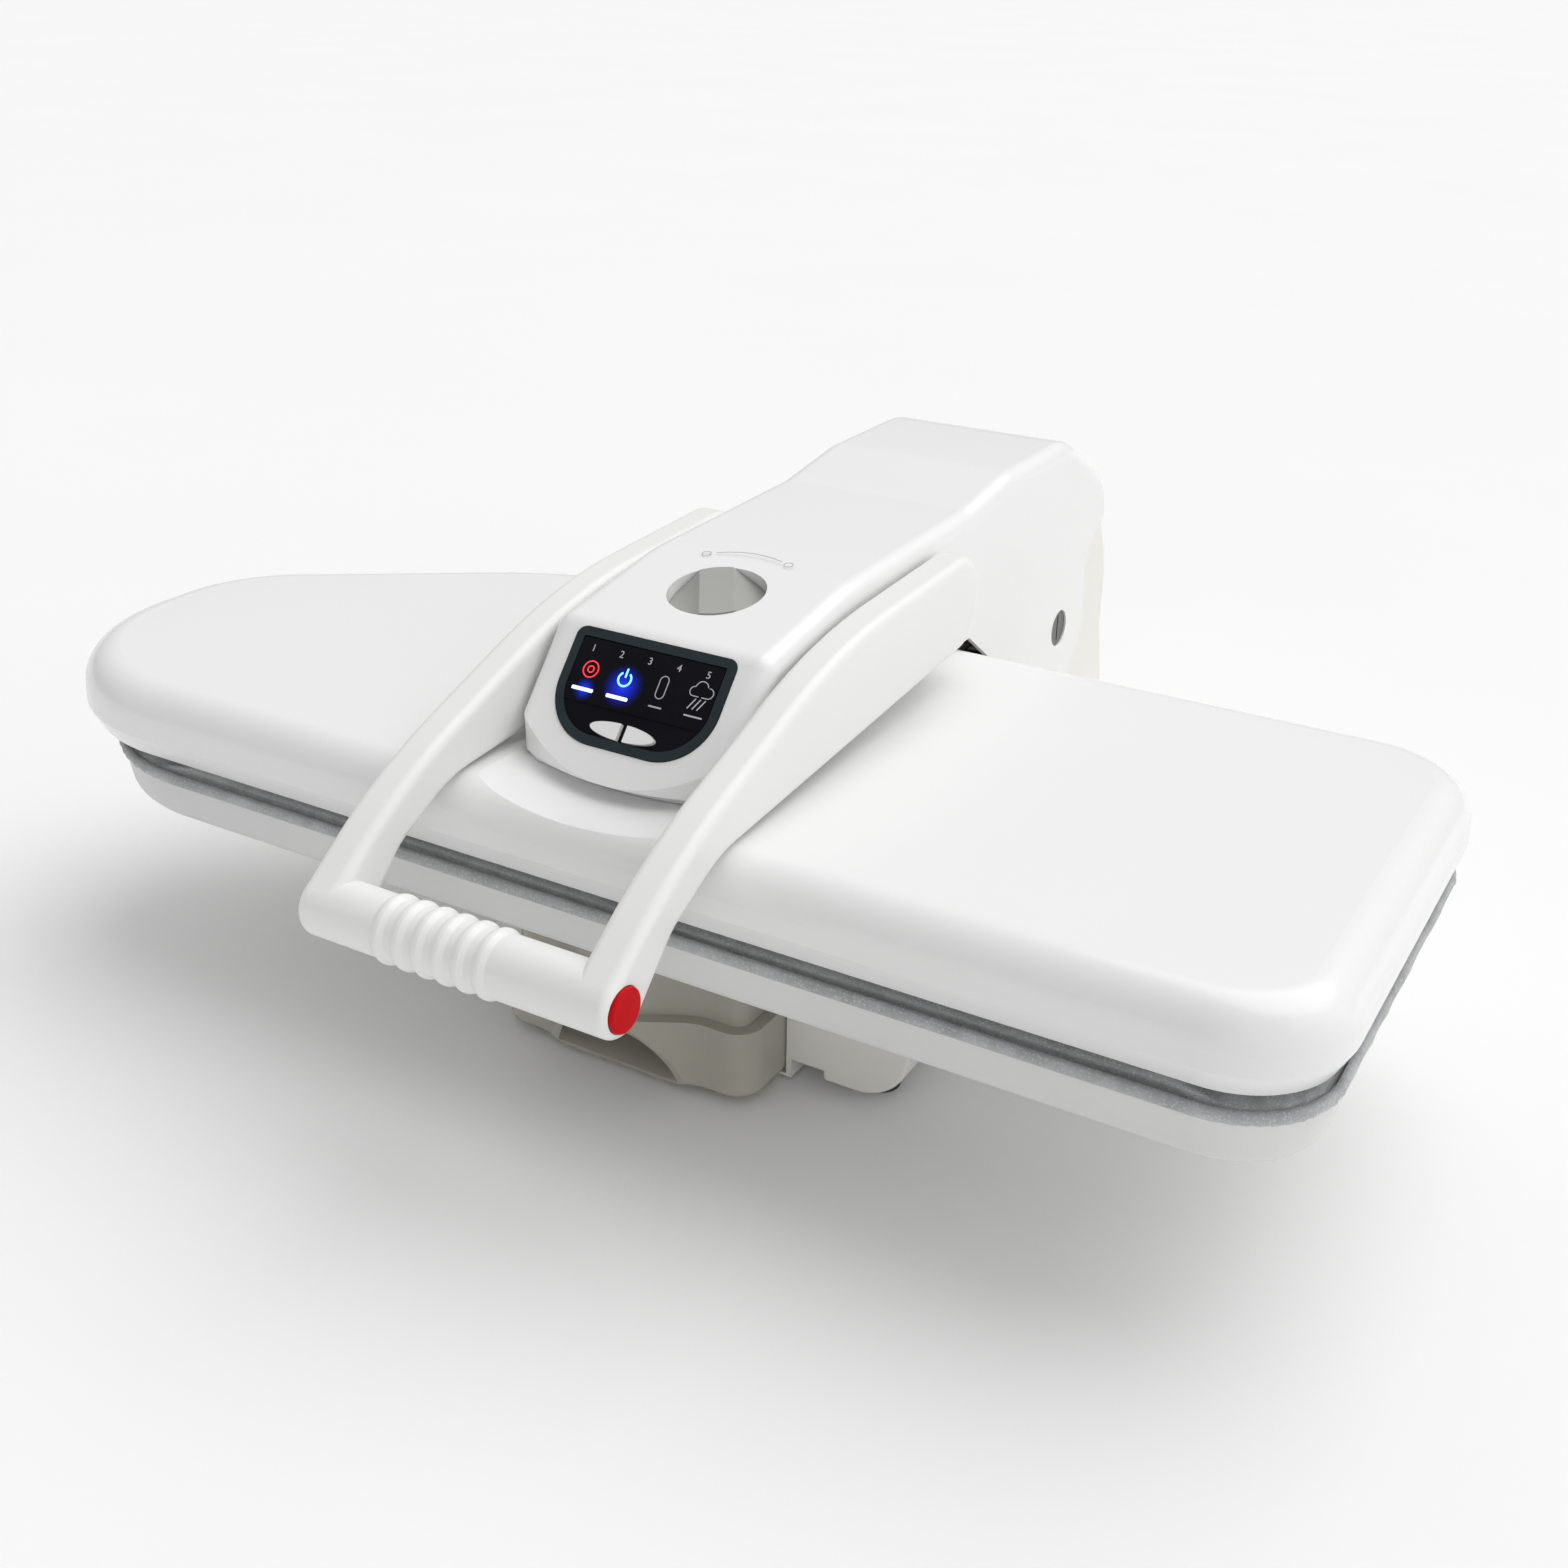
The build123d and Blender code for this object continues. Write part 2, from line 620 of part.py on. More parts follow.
def button_face(depth, side, growth):
    """Half-ellipse of one set button on the panel's plane."""
    with BuildSketch(panel_plane.offset(-depth)) as face:
        with Locations((0, button_centre)):
            Ellipse(button_long + growth, button_short + growth)
            with Locations((-side * (button_long - button_gap_half + growth), 0)):
                Rectangle(2 * button_long, 4 * button_short, mode=Mode.SUBTRACT)
    return face.sketch


# Hood shell with its knob cup, panel opening, bosses and neck
hood_boss_top_shares = (0.86, 0.86, 0.94, 0.94)
hood_boss_radius = 4.0
panel_boss_x = 43.0
panel_boss_points = (24.0, 60.0)
handle_setback = 187.0
neck_setback = 11.0
hood_boss_taper_share = 0.775
handle_drop = 31.5
handle_y = nose_y + handle_setback
handle_z = hump_top_z - handle_drop
handle_shaft_radius = 5.0
handle_bush_radius = 9.0
pivot_cap_radius = 10.5
neck_front_y = nose_y + neck_setback


def hood_neck(half):
    """Strip behind the hood's lip that reaches down to the scoop in the cover."""
    with BuildPart() as neck:
        span_box(arm_x - half, arm_x + half, neck_front_y, neck_front_y + shell_wall,
                 cover_top_z - scoop_depth, lip_z + 2 * overrun)
        rod((arm_x, neck_front_y - overrun, cover_top_z + scoop_radius - scoop_depth),
            (0, 1, 0), 3 * overrun, scoop_radius - running_gap, Mode.INTERSECT)
        extrude(nose_plan(shell_wall / 2), amount=hump_top_z, mode=Mode.INTERSECT)
    return neck.part


with BuildPart() as hood_shell:
    add(hood_form(0.0))
    add(hood_form(shell_wall), mode=Mode.SUBTRACT)
    inner = hood_half_width - shell_wall
    mouth = ((neck_front_y + shell_wall, lip_z - overrun), (neck_front_y + shell_wall, lip_z + 3 * overrun),
             (pivot_y, hood_top[-1][1] + 2 * overrun), (hood_top[-1][0] - 2 * overrun, hood_top[-1][1] + overrun),
             (hood_top[-1][0] + overrun, hood_top[-1][1] - overrun / 2),
             (hood_top[-1][0] + overrun, pivot_z - lobe_radius - overrun),
             (cover_back_y + slant_back, pivot_z - lobe_radius - overrun))
    extrude(side_face(arm_x - inner, mouth, (0.0,) * len(mouth)), amount=2 * inner, mode=Mode.SUBTRACT)
    # Neck behind the lip, down to the scoop in the cover
    add(hood_neck(inner))
    # Cup and hole of the lock knob
    with BuildSketch(knob_plane.offset(-knob_floor - knob_cup_wall)) as cup:
        Circle(knob_radius + knob_gap + knob_cup_wall)
    extrude(cup.sketch, amount=knob_floor + knob_cup_wall - sheet)
    with BuildSketch(knob_plane.offset(-knob_floor)) as well:
        Circle(knob_radius + knob_gap)
    extrude(well.sketch, amount=knob_floor + overrun, mode=Mode.SUBTRACT)
    with BuildSketch(knob_plane.offset(-knob_floor - 2 * knob_cup_wall)) as stem_hole:
        Circle(knob_shaft_radius + bore_clearance)
    extrude(stem_hole.sketch, amount=knob_floor + overrun, mode=Mode.SUBTRACT)
    # Recess and opening of the control panel
    extrude(bezel_face(bezel_depth, 0.0), amount=bezel_depth + overrun, mode=Mode.SUBTRACT)
    extrude(bezel_face(2 * shell_wall, bezel_ledge), amount=2 * shell_wall + overrun, mode=Mode.SUBTRACT)
    for side in (-1, 1):
        for boss_v in panel_boss_points:
            with BuildSketch(panel_plane.offset(-board_depth + seat_gap)) as boss:
                with Locations((side * panel_boss_x, boss_v)):
                    Circle(hood_boss_radius * hood_boss_taper_share)
            extrude(boss.sketch, amount=board_depth - shell_wall / 2)
    # Bosses that the arm is screwed to
    for (boss_x, boss_y), top_share in zip(hood_boss_spots, hood_boss_top_shares):
        post(arm_x + boss_x, boss_y, arm_top_z + seat_gap, lip_z + hood_rise * top_share, hood_boss_radius)
        post(arm_x + boss_x, boss_y, arm_top_z, arm_top_z + 2 * screw_length, screw_radius + seat_gap,
             Mode.SUBTRACT)
    # Bores for the handle's bushes, the hinge shaft and its caps
    cross_bar(handle_y, handle_z, arm_x - 2 * hood_half_width, arm_x + 2 * hood_half_width,
              handle_bush_radius + seat_gap, Mode.SUBTRACT)
    cross_bar(pivot_y, pivot_z, arm_x - 2 * hood_half_width, arm_x + 2 * hood_half_width,
              pivot_cap_radius + seat_gap, Mode.SUBTRACT)
save(hood_shell, "hood_shell")

with BuildPart() as hood_screws:
    for boss_x, boss_y in hood_boss_spots:
        post(arm_x + boss_x, boss_y, arm_top_z - arm_plate - seat_gap - screw_head_height,
             arm_top_z - arm_plate - seat_gap, screw_head_radius)
        post(arm_x + boss_x, boss_y, arm_top_z - arm_plate - seat_gap, arm_top_z + screw_length, screw_radius)
save(hood_screws, "hood_screws")

# Panel pieces, from the frame in to the circuit board
with BuildPart() as panel_bezel:
    extrude(bezel_face(bezel_depth - seat_gap, running_gap), amount=bezel_depth + bezel_proud)
    extrude(bezel_face(bezel_depth + overrun, bezel_frame), amount=2 * overrun + bezel_depth,
            mode=Mode.SUBTRACT)
save(panel_bezel, "panel_bezel")

window_face_depth = window_depth - bezel_proud
with BuildPart() as panel_window:
    extrude(bezel_face(window_face_depth + window_thickness, bezel_frame + running_gap),
            amount=window_thickness)
    extrude(bezel_face(window_face_depth + 2 * window_thickness, bezel_ledge + running_gap),
            amount=window_thickness)
    for side in (-1, 1):
        extrude(button_face(4 * window_thickness, side, button_clearance),
                amount=8 * window_thickness, mode=Mode.SUBTRACT)
save(panel_window, "panel_window")

with BuildPart() as display_lens:
    extrude(bezel_face(window_face_depth - seat_gap, bezel_frame + display_margin), amount=display_thickness)
    with BuildSketch(panel_plane.offset(-bezel_depth)) as field:
        with Locations((0, display_low + bezel_half)):
            Rectangle(2 * bezel_half, 2 * bezel_half)
    extrude(field.sketch, amount=2 * bezel_depth, mode=Mode.INTERSECT)
save(display_lens, "display_lens")

lip_depth = window_face_depth + 2 * window_thickness + running_gap
for side, hand in ((-1, "left"), (1, "right")):
    with BuildPart() as set_button:
        extrude(button_face(button_length - button_proud, side, 0.0), amount=button_length)
        extrude(button_face(lip_depth + sheet, side, button_lip), amount=sheet)
    save(set_button, f"set_button_{hand}")

membrane_depth = button_length - button_proud + button_travel + running_gap + membrane_thickness
with BuildPart() as button_membrane:
    with BuildSketch(panel_plane.offset(-membrane_depth)) as membrane:
        with Locations((0, button_centre)):
            RectangleRounded(2 * button_long + 2 * overrun, 2 * button_short + overrun, overrun)
    extrude(membrane.sketch, amount=membrane_thickness)
    extrude(membrane.sketch, amount=-(board_depth - membrane_depth - seat_gap))
save(button_membrane, "button_membrane")

circuit_low = 17.0
circuit_high = 64.0
chip_half = 7.0
with BuildPart() as control_board:
    with BuildSketch(panel_plane.offset(-board_depth)) as board:
        with Locations((0, (circuit_low + circuit_high) / 2)):
            Rectangle(2 * circuit_board_half, circuit_high - circuit_low)
        for side in (-1, 1):
            for boss_v in panel_boss_points:
                with Locations((side * panel_boss_x, boss_v)):
                    Circle(screw_radius + seat_gap, mode=Mode.SUBTRACT)
    extrude(board.sketch, amount=-circuit_board_thickness)
    with BuildSketch(panel_plane.offset(-board_depth - circuit_board_thickness)) as chips:
        with Locations((-2 * chip_half, circuit_high - 2 * chip_half), (2 * chip_half, circuit_low + chip_half)):
            Rectangle(2 * chip_half, chip_half)
    extrude(chips.sketch, amount=-2 * circuit_board_thickness)
save(control_board, "control_board")

with BuildPart() as board_screws:
    for side in (-1, 1):
        for boss_v in panel_boss_points:
            with BuildSketch(panel_plane.offset(-board_depth - circuit_board_thickness - seat_gap)) as head:
                with Locations((side * panel_boss_x, boss_v)):
                    Circle(screw_head_radius)
            extrude(head.sketch, amount=-screw_head_height)
            with BuildSketch(panel_plane.offset(-board_depth - circuit_board_thickness - seat_gap)) as shank:
                with Locations((side * panel_boss_x, boss_v)):
                    Circle(screw_radius)
            extrude(shank.sketch, amount=circuit_board_thickness + seat_gap)
save(board_screws, "board_screws")

# Hinge shaft and its caps, which turn with the head
pivot_cap_recess = 1.0
pivot_slot_share = 0.7
with BuildPart() as pivot_shaft:
    reach = hood_half_width - pivot_cap_recess - 2 * seat_gap - sheet
    cross_bar(pivot_y, pivot_z, arm_x - reach, arm_x + reach, pivot_shaft_radius)
save(pivot_shaft, "pivot_shaft")
for side, hand in ((-1, "left"), (1, "right")):
    outer_x = arm_x + side * (hood_half_width - pivot_cap_recess)
    inner_x = outer_x - side * sheet
    with BuildPart() as pivot_cap:
        cross_bar(pivot_y, pivot_z, min(outer_x, inner_x), max(outer_x, inner_x), pivot_cap_radius)
        slot_half = sheet / 2
        span_box(min(outer_x, outer_x - side * slot_half), max(outer_x, outer_x - side * slot_half),
                 pivot_y - slot_half, pivot_y + slot_half,
                 pivot_z - pivot_cap_radius * pivot_slot_share,
                 pivot_z + pivot_cap_radius * pivot_slot_share, Mode.SUBTRACT)
    save(pivot_cap, f"pivot_cap_{hand}")

# Handle: two flat arms outside the hood and a ribbed bar in front
handle_gap = 2.5
handle_arm_thickness = 18.0
handle_half = hood_half_width + handle_gap + handle_arm_thickness
handle_edge_radius = 4.5
grip_radius = 13.3
grip_rise = 2.5
grip_centre_z = seam_height + grip_rise
ring_count = 6
ring_pitch = 10.0
ring_height = 1.3
ring_half = 3.4
ring_crest_half = 0.8
ring_round = 1.5
ring_shift = 8.0
grip_centre_y = -overall_depth / 2 + grip_radius + ring_height
arm_top_points = ((25.0, 18.0), (-118.0, 12.0), (-243.0, -33.5))
arm_low_points = ((-247.0, -62.0), (-214.0, -45.0), (10.0, -28.0))
arm_top_radii = (18.0, 300.0, 250.0)
arm_low_radii = (30.0, 60.0, 14.0)


def grip_point(angle):
    """Point of the bar's round at an angle above its level, seen from the right."""
    return (grip_centre_y + grip_radius * math.cos(angle), grip_centre_z + grip_radius * math.sin(angle))


def grip_tangent_angle(point, side):
    """Angle at which a line from a point touches the bar's round, on one side."""
    along = point[0] - grip_centre_y
    up = point[1] - grip_centre_z
    return math.atan2(up, along) + side * math.acos(grip_radius / math.hypot(along, up))


def handle_profile(x):
    """Side face of one handle arm with the round end of the bar."""
    top = [(handle_y + along, handle_z + up) for along, up in arm_top_points]
    low = [(handle_y + along, handle_z + up) for along, up in arm_low_points]
    end = grip_tangent_angle(top[-1], 1)
    start = grip_tangent_angle(low[0], -1) + 2 * math.pi
    with BuildSketch(Plane.YZ.offset(x)) as face:
        with BuildLine():
            FilletPolyline(grip_point(start), *low, *top, grip_point(end),
                           radius=arm_low_radii + arm_top_radii)
            ThreePointArc(grip_point(end), grip_point((start + end) / 2), grip_point(start))
        make_face()
    return face.sketch


def handle_arm(face_x):
    """One handle arm between two YZ planes, its edges rounded."""
    end_x = face_x + handle_arm_thickness
    with BuildPart() as arm:
        extrude(handle_profile(face_x), amount=handle_arm_thickness)
        near = arm.edges().filter_by_position(Axis.X, face_x - seat_gap, face_x + seat_gap)
        far = arm.edges().filter_by_position(Axis.X, end_x - seat_gap, end_x + seat_gap)
        fillet(near + far, handle_edge_radius)
    return arm.part


def grip_ring(x):
    """One ridge of the bar's ribbed grip, with sloping flanks and a round crest."""
    core = grip_radius - ring_height
    crest = grip_radius + ring_height
    section_plane = Plane(origin=(x, grip_centre_y, grip_centre_z), x_dir=(1, 0, 0), z_dir=(0, -1, 0))
    with BuildPart() as ring:
        with BuildSketch(section_plane):
            with BuildLine():
                FilletPolyline((-ring_half, core), (-ring_half, grip_radius), (-ring_crest_half, crest),
                               (ring_crest_half, crest), (ring_half, grip_radius), (ring_half, core),
                               radius=(0, 0, ring_round, ring_round, 0, 0), close=True)
            make_face()
        revolve(axis=Axis((x, grip_centre_y, grip_centre_z), (1, 0, 0)))
    return ring.part


button_shift = 1.2
steam_button_radius = 9.3
steam_button_gap = 0.3
steam_button_proud = 1.6
steam_button_round_share = 0.6
steam_button_height = 6.0
steam_button_travel = 3.0
steam_stem_radius = 4.0
steam_stem_length = 6.0
steam_button_y = grip_centre_y - button_shift
button_pocket = steam_button_height - steam_button_proud + steam_button_travel + running_gap
stem_well = button_pocket + steam_stem_length
switch_length = 14.0
switch_radius = 6.0
handle_right_x = arm_x + handle_half
well_end_x = handle_right_x - stem_well - running_gap
with BuildPart() as handle_frame:
    add(handle_arm(arm_x - handle_half))
    add(handle_arm(handle_right_x - handle_arm_thickness))
    bar_half = handle_half - handle_edge_radius
    cross_bar(grip_centre_y, grip_centre_z, arm_x - bar_half, arm_x + bar_half, grip_radius)
    for ring in range(ring_count):
        ring_x = arm_x - ring_shift + (ring - (ring_count - 1) / 2) * ring_pitch
        add(grip_ring(ring_x))
    # Pocket of the steam button, with the well of its stem and of the switch
    cross_bar(steam_button_y, grip_centre_z, handle_right_x - button_pocket, handle_right_x + overrun,
              steam_button_radius + steam_button_gap, Mode.SUBTRACT)
    cross_bar(steam_button_y, grip_centre_z, well_end_x, handle_right_x, steam_stem_radius + steam_button_gap,
              Mode.SUBTRACT)
    cross_bar(steam_button_y, grip_centre_z, well_end_x - switch_length, well_end_x,
              switch_radius + seat_gap, Mode.SUBTRACT)
    cross_bar(handle_y, handle_z, arm_x - handle_half + handle_edge_radius,
              arm_x + handle_half - handle_edge_radius, handle_shaft_radius + seat_gap, Mode.SUBTRACT)
save(handle_frame, "handle_frame")

with BuildPart() as steam_button:
    cross_bar(steam_button_y, grip_centre_z, handle_right_x + steam_button_proud - steam_button_height,
              handle_right_x + steam_button_proud, steam_button_radius)
    fillet(steam_button.faces().sort_by(Axis.X)[-1].edges(), steam_button_proud * steam_button_round_share)
    cross_bar(steam_button_y, grip_centre_z,
              well_end_x + steam_button_travel + running_gap,
              handle_right_x + steam_button_proud - steam_button_height, steam_stem_radius)
save(steam_button, "steam_button")
with BuildPart() as steam_switch:
    cross_bar(steam_button_y, grip_centre_z, well_end_x - switch_length, well_end_x - seat_gap, switch_radius)
save(steam_switch, "steam_switch")

with BuildPart() as handle_shaft:
    shaft_reach = handle_half - handle_edge_radius - seat_gap
    cross_bar(handle_y, handle_z, arm_x - shaft_reach, arm_x + shaft_reach, handle_shaft_radius)
save(handle_shaft, "handle_shaft")
cam_radius = 8.4
toggle_cam_half = 9.0
cam_offset = handle_z - arm_top_z - cam_radius - running_gap
with BuildPart() as toggle_cam:
    cross_bar(handle_y, handle_z - cam_offset, arm_x - toggle_cam_half, arm_x + toggle_cam_half, cam_radius)
    cross_bar(handle_y, handle_z, arm_x - toggle_cam_half, arm_x + toggle_cam_half,
              handle_shaft_radius + seat_gap, Mode.SUBTRACT)
save(toggle_cam, "toggle_cam")
bush_outer_reach = handle_half - handle_arm_thickness - running_gap
bush_inner_reach = hood_half_width - 2 * shell_wall
for side, hand in ((-1, "left"), (1, "right")):
    with BuildPart() as handle_bush:
        sleeve(handle_y, handle_z, arm_x + side * bush_outer_reach, arm_x + side * bush_inner_reach,
               handle_bush_radius, handle_shaft_radius + bore_clearance)
    save(handle_bush, f"handle_bush_{hand}")

# Column behind the board: cheeks inside the hood, closed by a round back
cheek_half = hood_half_width - shell_wall - running_gap
column_radius = 80.0
column_top_angle = 46.0
column_floor_z = 6.5
column_front_set = 67.0
column_shoulder_set = 18.0
column_top_share = 0.9
column_front_y = cover_back_y + column_front_set
column_shoulder_y = column_front_y + column_shoulder_set
flare_top_drop = 20.0
flare_low_set = 3.0


def column_arc_point(angle):
    """Point of the column's round back at an angle above the level of the hinge."""
    return (pivot_y + column_radius * math.cos(math.radians(angle)),
            pivot_z + column_radius * math.sin(math.radians(angle)))


def column_outline(x, inset):
    """Side face of the column."""
    top = column_arc_point(column_top_angle)
    low = (pivot_y + column_radius, pivot_z)
    with BuildSketch(Plane.YZ.offset(x)) as face:
        with BuildLine():
            ThreePointArc(top, column_arc_point(column_top_angle / 2), low)
            Polyline(low, (pivot_y + column_radius, pivot_z - flare_top_drop),
                     (column_back_y - flare_low_set, pivot_z / 2), (column_back_y, column_floor_z),
                     (column_front_y, column_floor_z), (column_front_y, pan_bottom_z),
                     (column_shoulder_y, pivot_z + cheek_half / 2),
                     (pivot_y, pivot_z + column_radius * column_top_share), top)
        make_face()
        if inset > 0:
            offset(amount=-inset, mode=Mode.REPLACE)
    return face.sketch


window_half = 38.0
window_low_z = 15.0
window_drop = 10.0
window_high_z = pan_bottom_z - window_drop
window_rim = 7.5
column_screw_spots = [(arm_x + side * (window_half + window_rim), z)
                      for side in (-1, 1) for z in (window_low_z + window_rim, window_high_z - window_rim)]
bracket_bolt_radius = 2.5
bracket_bolt_half = 25.0
bracket_bolt_spots = [(arm_x + side * bracket_bolt_half, y)
                      for side in (-1, 1) for y in (column_shoulder_y + 3 * overrun, pivot_y + 6 * overrun)]
inlet_radius = 9.0
inlet_z = 36.0
inlet_shift = 24.0
inlet_x = arm_x - inlet_shift
column_edge_radius = 5.0
with BuildPart() as column_shell:
    extrude(column_outline(arm_x - cheek_half, 0.0), amount=2 * cheek_half)
    back_edges = column_shell.edges().filter_by(
        lambda edge: edge.center().Y > pivot_y + column_radius / 2
        and abs(edge.center().X - arm_x) > cheek_half - seat_gap and edge.center().Z > column_floor_z + overrun)
    fillet(back_edges, column_edge_radius)
    extrude(column_outline(arm_x - cheek_half + shell_wall, shell_wall),
            amount=2 * (cheek_half - shell_wall), mode=Mode.SUBTRACT)
    # Open front and top between the cheeks, for the head's arm
    mouth = ((column_front_y - overrun, pan_bottom_z), (column_front_y - overrun, pivot_z + 2 * column_radius),
             (pivot_y + column_radius, pivot_z + 2 * column_radius),
             column_arc_point(column_top_angle),
             (column_arc_point(column_top_angle)[0] - 2 * shell_wall,
              column_arc_point(column_top_angle)[1] - 4 * shell_wall),
             (pivot_y, pan_bottom_z))
    extrude(side_face(arm_x - cheek_half + shell_wall, mouth, (0.0,) * len(mouth)),
            amount=2 * (cheek_half - shell_wall), mode=Mode.SUBTRACT)
    span_box(arm_x - window_half, arm_x + window_half, column_front_y - overrun,
             column_front_y + overrun, window_low_z, window_high_z, Mode.SUBTRACT)
    for screw_x, screw_z in column_screw_spots:
        rod((screw_x, column_front_y - overrun, screw_z), (0, 1, 0), 4 * overrun, screw_radius + seat_gap,
            Mode.SUBTRACT)
    for bolt_x, bolt_y in bracket_bolt_spots:
        post(bolt_x, bolt_y, column_floor_z - overrun, column_floor_z + overrun,
             bracket_bolt_radius + seat_gap, Mode.SUBTRACT)
    cross_bar(pivot_y, pivot_z, arm_x - hood_half_width, arm_x + hood_half_width,
              pivot_shaft_radius + running_gap, Mode.SUBTRACT)
    rod((inlet_x, column_back_y - 6 * overrun, inlet_z), (0, 1, 0), 8 * overrun, inlet_radius + seat_gap,
        Mode.SUBTRACT)
save(column_shell, "column_shell")

# Steel bracket in the column that carries the hinge
ear_half = 46.0
ear_sheet = 4.0
ear_radius = 15.0
bracket_front_set = 43.0
bracket_back_set = 34.0
bracket_back_drop = 25.0
bracket_front_edge_y = pivot_y - bracket_front_set
bracket_back_edge_y = pivot_y + bracket_back_set
stop_bar_radius = 3.0
stop_bar_set = 36.0
stop_bar_y = pivot_y - stop_bar_set
stop_bar_z = pivot_z - spring_coil_radius - spring_wire_radius - running_gap - stop_bar_radius
hose_bar_set = 28.0
hose_bar_drop = 35.0
hose_bar_y = pivot_y + hose_bar_set
hose_bar_z = pivot_z - hose_bar_drop
bracket_floor_z = column_floor_z + shell_wall + seat_gap
bush_radius = 9.0
ear_points = ((bracket_front_edge_y, bracket_floor_z), (bracket_back_edge_y, bracket_floor_z),
              (bracket_back_edge_y, pivot_z - bracket_back_drop), (pivot_y + ear_radius, pivot_z),
              (pivot_y - ear_radius, pivot_z), (bracket_front_edge_y, stop_bar_z + 2 * stop_bar_radius))
with BuildPart() as column_bracket:
    for face_x in (arm_x - ear_half, arm_x + ear_half - ear_sheet):
        extrude(side_face(face_x, ear_points, (0.0,) * len(ear_points)), amount=ear_sheet)
        cross_bar(pivot_y, pivot_z, face_x, face_x + ear_sheet, ear_radius)
    span_box(arm_x - ear_half, arm_x + ear_half, bracket_front_edge_y, bracket_back_edge_y,
             bracket_floor_z, bracket_floor_z + ear_sheet)
    cross_bar(stop_bar_y, stop_bar_z, arm_x - ear_half, arm_x + ear_half, stop_bar_radius)
    cross_bar(hose_bar_y, hose_bar_z, arm_x - ear_half, arm_x + ear_half, stop_bar_radius)
    cross_bar(pivot_y, pivot_z, arm_x - ear_half, arm_x + ear_half, bush_radius + seat_gap, Mode.SUBTRACT)
    for bolt_x, bolt_y in bracket_bolt_spots:
        post(bolt_x, bolt_y, bracket_floor_z, bracket_floor_z + ear_sheet,
             bracket_bolt_radius + seat_gap, Mode.SUBTRACT)
save(column_bracket, "column_bracket")

bracket_bolt_head = 3.0
bracket_bolt_head_radius = 5.0
with BuildPart() as bracket_bolts:
    for bolt_x, bolt_y in bracket_bolt_spots:
        head_z = column_floor_z - seat_gap
        post(bolt_x, bolt_y, head_z - bracket_bolt_head, head_z, bracket_bolt_head_radius)
        post(bolt_x, bolt_y, head_z, bracket_floor_z + 2 * ear_sheet, bracket_bolt_radius)
save(bracket_bolts, "bracket_bolts")

with BuildPart() as pivot_bushes:
    for side in (-1, 1):
        inner_x = arm_x + side * (arm_half + running_gap)
        outer_x = arm_x + side * (cheek_half - shell_wall - running_gap)
        sleeve(pivot_y, pivot_z, inner_x, outer_x, bush_radius, pivot_shaft_radius + bore_clearance)
save(pivot_bushes, "pivot_bushes")

# Lift springs round the hinge shaft: wound sleeves with a leg under the head's pin
# and a leg on the bracket's bar
spring_inner_half = 5.0
spring_outer_half = 33.0
upper_leg_reach = 56.0
lower_leg_reach = 41.0
leg_share = 0.9
with BuildPart() as lift_springs:
    for side in (-1, 1):
        inner_x = arm_x + side * spring_inner_half
        outer_x = arm_x + side * spring_outer_half
        sleeve(pivot_y, pivot_z, inner_x, outer_x, spring_coil_radius + spring_wire_radius,
               spring_coil_radius - spring_wire_radius)
        rod((outer_x - side * spring_wire_radius, pivot_y, pivot_z + spring_coil_radius), (0, -1, 0),
            upper_leg_reach, spring_wire_radius * leg_share)
        rod((inner_x + side * spring_wire_radius, pivot_y, pivot_z - spring_coil_radius), (0, -1, 0),
            lower_leg_reach, spring_wire_radius * leg_share)
save(lift_springs, "lift_springs")

# Base under the board: a narrow leg, the bay of the tank and a wide pod
base_left_reach = 104.0
base_right_reach = 130.0
base_front_set = 80.0
base_left_x = arm_x - base_left_reach
base_right_x = arm_x + base_right_reach
base_floor_z = 11.0
base_front_y = cover_front_y + base_front_set
base_back_y = column_front_y - seat_gap
base_top_z = pan_bottom_z - seat_gap
foot_z = column_floor_z
pod_foot_set = 48.0
pod_foot_end_set = 10.0
pod_waist_drop = 25.0
pod_foot_x = base_right_x - pod_foot_set
pod_foot_end_x = base_right_x - pod_foot_end_set
pod_waist_z = pan_bottom_z - pod_waist_drop
base_edge_radius = 2.2
base_front_round_share = 0.9
leg_radius = 14.0
pod_foot_radius = 26.0
pod_waist_radius = 30.0


def base_section(y, inset):
    """Cross-section of the base in an XZ plane, drawn in by an inset."""
    with BuildSketch(Plane.XZ.offset(-y)) as face:
        with BuildLine():
            FilletPolyline((base_left_x, base_top_z), (base_left_x, base_floor_z),
                           (pod_foot_x, base_floor_z), (pod_foot_x, foot_z), (pod_foot_end_x, foot_z),
                           (base_right_x, pod_waist_z), (base_right_x, base_top_z),
                           radius=(0.0, leg_radius, 0.0, base_edge_radius, pod_foot_radius,
                                   pod_waist_radius, 0.0), close=True)
        make_face()
        if inset > 0:
            offset(amount=-inset, mode=Mode.REPLACE)
    return face.sketch


tank_shift = 7.0
bay_half = 70.0
bay_depth = 77.0
bay_roof = 5.0
tank_x = arm_x - tank_shift
bay_top_z = pan_bottom_z - bay_roof
bay_back_y = base_front_y + bay_depth
rail_low_z = 2.2
rail_reach = 10.0
rail_top_z = rail_low_z + sheet
service_half = 84.0
service_shift = 4.0
service_front_set = 6.0
service_back_set = 10.0
service_x = arm_x - service_shift
service_front_y = bay_back_y + service_front_set
service_back_y = column_front_y - service_back_set
service_lip = 5.0
service_sheet = 1.2
outlet_z = 25.0
spout_radius = 7.0
base_boss_height = 20.0
front_foot_set = 22.0
right_foot_set = 29.0
left_foot_set = 12.0
front_feet = ((base_right_x - right_foot_set, base_front_y + front_foot_set),
              (base_left_x + left_foot_set, base_front_y + front_foot_set))
back_foot_half = 40.0
back_foot_set = 22.0
